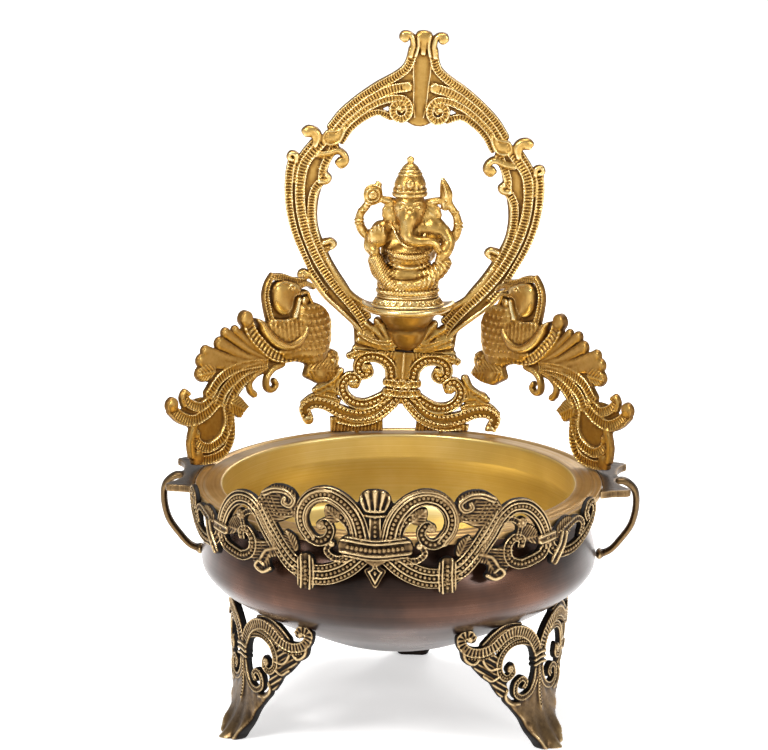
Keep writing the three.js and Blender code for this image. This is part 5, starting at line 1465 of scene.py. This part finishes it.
def makeBird(name, side):
    sheet = Relief((-46, -1), (132, 128), bird["cell"])

    def feather(points, width, height, endWidth):
        sheet.band(points, width, height, [(0, endWidth * 0.42, 0.9), (-0.85, 0.5, 0.4), (0.85, 0.5, 0.4)],
                   endWidth, edge=1.4, drop=2.0)

    # low cores that hold the feathers together
    sheet.plate([(50, 60), (30, 60), (14, 54), (0, 48), (-12, 50), (-30, 44), (-34, 38), (-22, 30),
                 (-22, 12), (-14, 3), (4, 2),
                 (14, 10), (17, 30), (24, 40), (36, 50), (50, 54), (66, 56), (60, 66)], 2.0)
    sheet.plate([(55, 62), (40, 60), (20, 60), (0, 58), (-8, 62), (-8, 78), (8, 82), (16, 88), (26, 88),
                 (34, 95), (48, 80)], 2.2)
    sheet.plate([(56, 92), (60, 110), (84, 112), (90, 100), (100, 96), (110, 88), (114, 74), (112, 58),
                 (100, 50), (86, 58), (60, 64),
                 (44, 82), (46, 94)], 2.6)
    # tail and foot
    for line, width in (([(14.5, 40), (15.4, 26), (9.2, 16.5), (-3.9, 12.6), (-14, 17.6), (-16.4, 25)], 8.6),
                        ([(17, 31), (17.4, 16), (11.5, 7), (-2.9, 4.2), (-16, 6.2)], 8.4),
                        ([(5, 44), (-5.8, 37.4), (-18.6, 35), (-30, 39.6), (-37, 46)], 9.6),
                        ([(2.3, 48.5), (-9.5, 43.2), (-19.8, 46.4), (-25, 51)], 8)):
        sheet.ribbed(line, width, 3.2, 2.4, 1.1, width * 0.9)
    sheet.band([(-17, 30), (-20, 20), (-19, 10)], 7, 3.2, [(0, 2.8, 1.2)], 6)
    sheet.dome((-37, 49.5), 5.6, 2.6, 2.4)
    sheet.band([(-26, 48), (-27.5, 53), (-25, 56.5), (-21.5, 54.5)], 5, 3.0, [(0, 2.0, 1.0)], 4)
    sheet.dome((-14.5, 24), 3.2, 3.0, 1.4)
    sheet.dome((-14, 7.5), 5.4, 2.8, 1.6)
    # long curved plumes over the tail
    sheet.ribbed([(52, 61), (44, 59), (36.7, 57), (27, 52), (19.5, 45.5), (15, 38)], 7.2, 3.2, 2.4, 1.1, 8.6)
    sheet.ribbed([(52, 62), (34.1, 61), (20.8, 56.6), (10.6, 50), (6.5, 43)], 7.2, 3.5, 2.4, 1.1, 9)
    sheet.ribbed([(52, 63), (34.2, 64.8), (18.4, 63.8), (5.6, 58.8), (-2, 51)], 6.8, 3.8, 2.4, 1.1, 9)
    sheet.plate([(-1, 73), (-8, 73), (-13.5, 70), (-14.5, 65), (-9, 60), (-1, 61.5), (4, 67)], 3.0,
                leafRule((2, 66), (-12, 66), 3.0, 0.35, 1.6, 4.0, False))
    # spread of feathers, each ending in a rounded lobe
    for tip, start, width in (((-8.5, 75.5), (50, 63), 9.6), ((-4.5, 81.5), (51, 64), 8.4),
                              ((9, 84.5), (51, 65), 9.4), ((14.5, 91), (52, 66), 7.8),
                              ((23.5, 91.5), (53, 67), 6.6)):
        middle = ((tip[0] + start[0]) / 2 + 2, (tip[1] + start[1]) / 2 - 3.2)
        feather([start, middle, tip], 3.0, 3.2, width)
        sheet.dome(tip, width * 0.52, 2.7, 1.3)
    # drops and curls below
    feather([(52, 60), (43.3, 56.3), (37, 51), (37.8, 45.5), (41.5, 42)], 5, 3.0, 5.6)
    sheet.band([(68, 58.5), (60, 57), (54, 52), (53.6, 45), (58.6, 42), (62.6, 45), (61, 48)], 6.4, 3.0,
               [(0, 2.4, 1.2)], 4.6)
    sheet.plate([(20, 46), (27, 44), (31.5, 39.5), (36, 34), (31.5, 31.5), (27.5, 27.6), (21, 31), (15, 36)],
                2.8,
                leafRule((18, 40), (33, 32), 2.8, 0.4, 1.4, 4.0, False))
    # breast and body with scales
    sheet.plate([(84, 98), (92, 99), (101, 98), (110, 93), (116, 84), (116.5, 72), (114.5, 62), (109, 55),
                 (98, 52), (86, 58), (70, 62),
                 (64, 70), (80, 78)], 3.4, lambda u, v, d: crowned(d, 10, 3.2) + scales(u, v, 5.0))
    sheet.plate([(46, 95), (53, 92), (58, 94), (68, 92), (80, 91), (92, 84), (86, 76), (74, 72), (60, 77),
                 (50, 87)], 4.2,
                lambda u, v, d: crowned(d, 8, 2.0) + scales(v, u, 4.2))
    # wing: ribbed band below a smooth crescent
    sheet.ribbed([(33.5, 97.5), (38, 87), (47, 77), (58, 68), (69.5, 63.6), (83, 62.8), (93, 67.5)], 10.4,
                 4.2, 4.0, 1.7, 7, 1.1)
    sheet.dome((33, 98), 5.8, 4.4, 1.6)
    sheet.plate([(41.5, 96.5), (45.5, 88), (52, 79.5), (62, 72), (73.5, 68.2), (84, 70.4), (91.5, 81),
                 (89.4, 84), (84, 77.4), (73.5, 74.4),
                 (64, 78.6), (54.5, 87), (47, 95)], 6.0, lambda u, v, d: crowned(d, 2.6, 1.6))
    # feet: paw, rosette and belly
    sheet.plate([(80, 59), (92, 53.5), (90, 46.5), (97, 41.5), (106.5, 38), (119, 38.6), (127.5, 42.6),
                 (124, 49), (116, 58), (104, 60)], 3.2,
                leafRule((84, 52), (124, 44), 3.6, 0.35, 2.2, 6.0, False))
    sheet.dome((116.5, 53), 8.2, 3.8, 2.6, 9, 0.9)
    sheet.dome((105, 45), 7.0, 3.6, 2.8)
    # head, hood, eye and beak
    sheet.ribbed([(57, 93), (54, 103), (52.8, 112), (55.2, 119), (59.6, 124)], 6, 3.6, 2.2, 1.1, 4.2)
    sheet.ribbed([(59.6, 123), (69, 121.5), (80, 117.2), (91, 115)], 5.4, 3.4, 2.2, 1.1, 4.8)
    sheet.plate([(59, 117), (66, 119.6), (76, 117.6), (84, 113), (85, 107), (78.5, 104.6), (77, 99),
                 (71, 94), (62.5, 97.5), (57.5, 107)], 4.0,
                lambda u, v, d: crowned(d, 9, 4.2))
    sheet.band([(76.8, 113.4), (73.6, 115.6), (70.4, 113.4), (73.4, 111), (76.8, 113.2)], 1.3, 8.4, edge=0.6,
               drop=1.2)
    sheet.dome((73.6, 113.2), 1.4, 7.8, 0.9)
    sheet.band([(83, 111.5), (90, 113), (96, 111.4), (99, 109)], 6.0, 3.8, [(0, 2.4, 1.4)], 3.4)
    sheet.band([(86, 107), (92.5, 106.6), (95, 102), (97.5, 98)], 4.2, 3.8, [(0, 1.8, 1.2)], 3.2)
    sheet.band([(83, 102.5), (81.6, 97), (79.6, 92.5)], 4.4, 5.2, [(0, 2.0, 1.6)], 5.2)
    sheet.dome((90, 101), 3.6, 4.0, 1.4)

    tailX, tailY = bird["tail"]
    headX, headY = bird["head"]
    run = math.hypot(tailX - headX, headY - tailY)
    stretch = run / bird["run"]
    inward = np.array([(headX - tailX) / run, (headY - tailY) / run])

    def place(points):
        points = np.asarray(points, float)
        p, q, w = points[:, 0] * stretch, points[:, 1], points[:, 2]
        w = w - bird["setBack"]
        x = tailX + inward[0] * p - inward[1] * w
        y = tailY + inward[1] * p + inward[0] * w
        return np.column_stack([side * x, y, rimHeight + q])

    def aboveRim(u, v, w):
        return (v - bird["gap"]) + 0 * u + 0 * w

    sheet.height = sheet.height - bird["shave"]
    castRelief(name + "_casting", sheet, place, antiqueGold, [name], cut=aboveRim,
               sideLevel=0.3,
               gain=0.5, back=0.9 + 0.3 * np.clip(sheet.height, 0, None))


screw = {"shank": 1.6, "head": 3.6, "headHeight": 2.4, "socket": 1.3}


# A round-headed screw with a round socket, head down under the flange
def makeScrew(name):
    low, high = (np.array(corner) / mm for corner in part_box(name))
    z, top, s, h = low[2], high[2], screw["shank"], screw["head"]
    line = [(0, z + 1.1), (screw["socket"], z + 1.1), (screw["socket"] + 0.1, z + 0.1),
            (screw["socket"] + 0.4, z),
            (h - 1.4, z + 0.1), (h - 0.5, z + 0.5), (h, z + 1.3), (h, z + screw["headHeight"] - 0.2),
            (h - 0.2, z + screw["headHeight"]), (s, z + screw["headHeight"] + 0.01)]
    line += [(s - 0.25 * (k % 2), height) for k, height in enumerate(np.arange(z + 3, top - 0.8, 0.4))]
    line += [(s - 0.6, top), (0, top)]
    piece = turnedPiece(name + "_turned", line, 40, antiqueGold)
    centre = (low + high) / 2
    piece.data.transform(Matrix.Translation((centre[0] * mm, centre[1] * mm, 0)))
    layer = piece.data.attributes.new("relief", "FLOAT", "POINT")
    layer.data.foreach_set("value", np.full(len(piece.data.vertices), 0.5, np.float32))
    finishPiece(piece, [name])


finishBowl()
for name in ("panel_screw_left", "panel_screw_right"):
    makeScrew(name)
for name, turn in (("leg_front_left", -60), ("leg_back", 180), ("leg_front_right", 60)):
    makeLeg(name, turn)
report("legs")
for name, side in (("handle_left", -1), ("handle_right", 1)):
    makeHandle(name, side)
report("handles")
makePanel()
makeArch()
report("panel and arch")
makeShelf()
makePedestal()
report("shelf and pedestal")
makeFigure()
report("figure")
for name, side in (("peacock_left", -1), ("peacock_right", 1)):
    makeBird(name, side)
report("peacocks")

makeStage()
makeCamera()
report("stage")
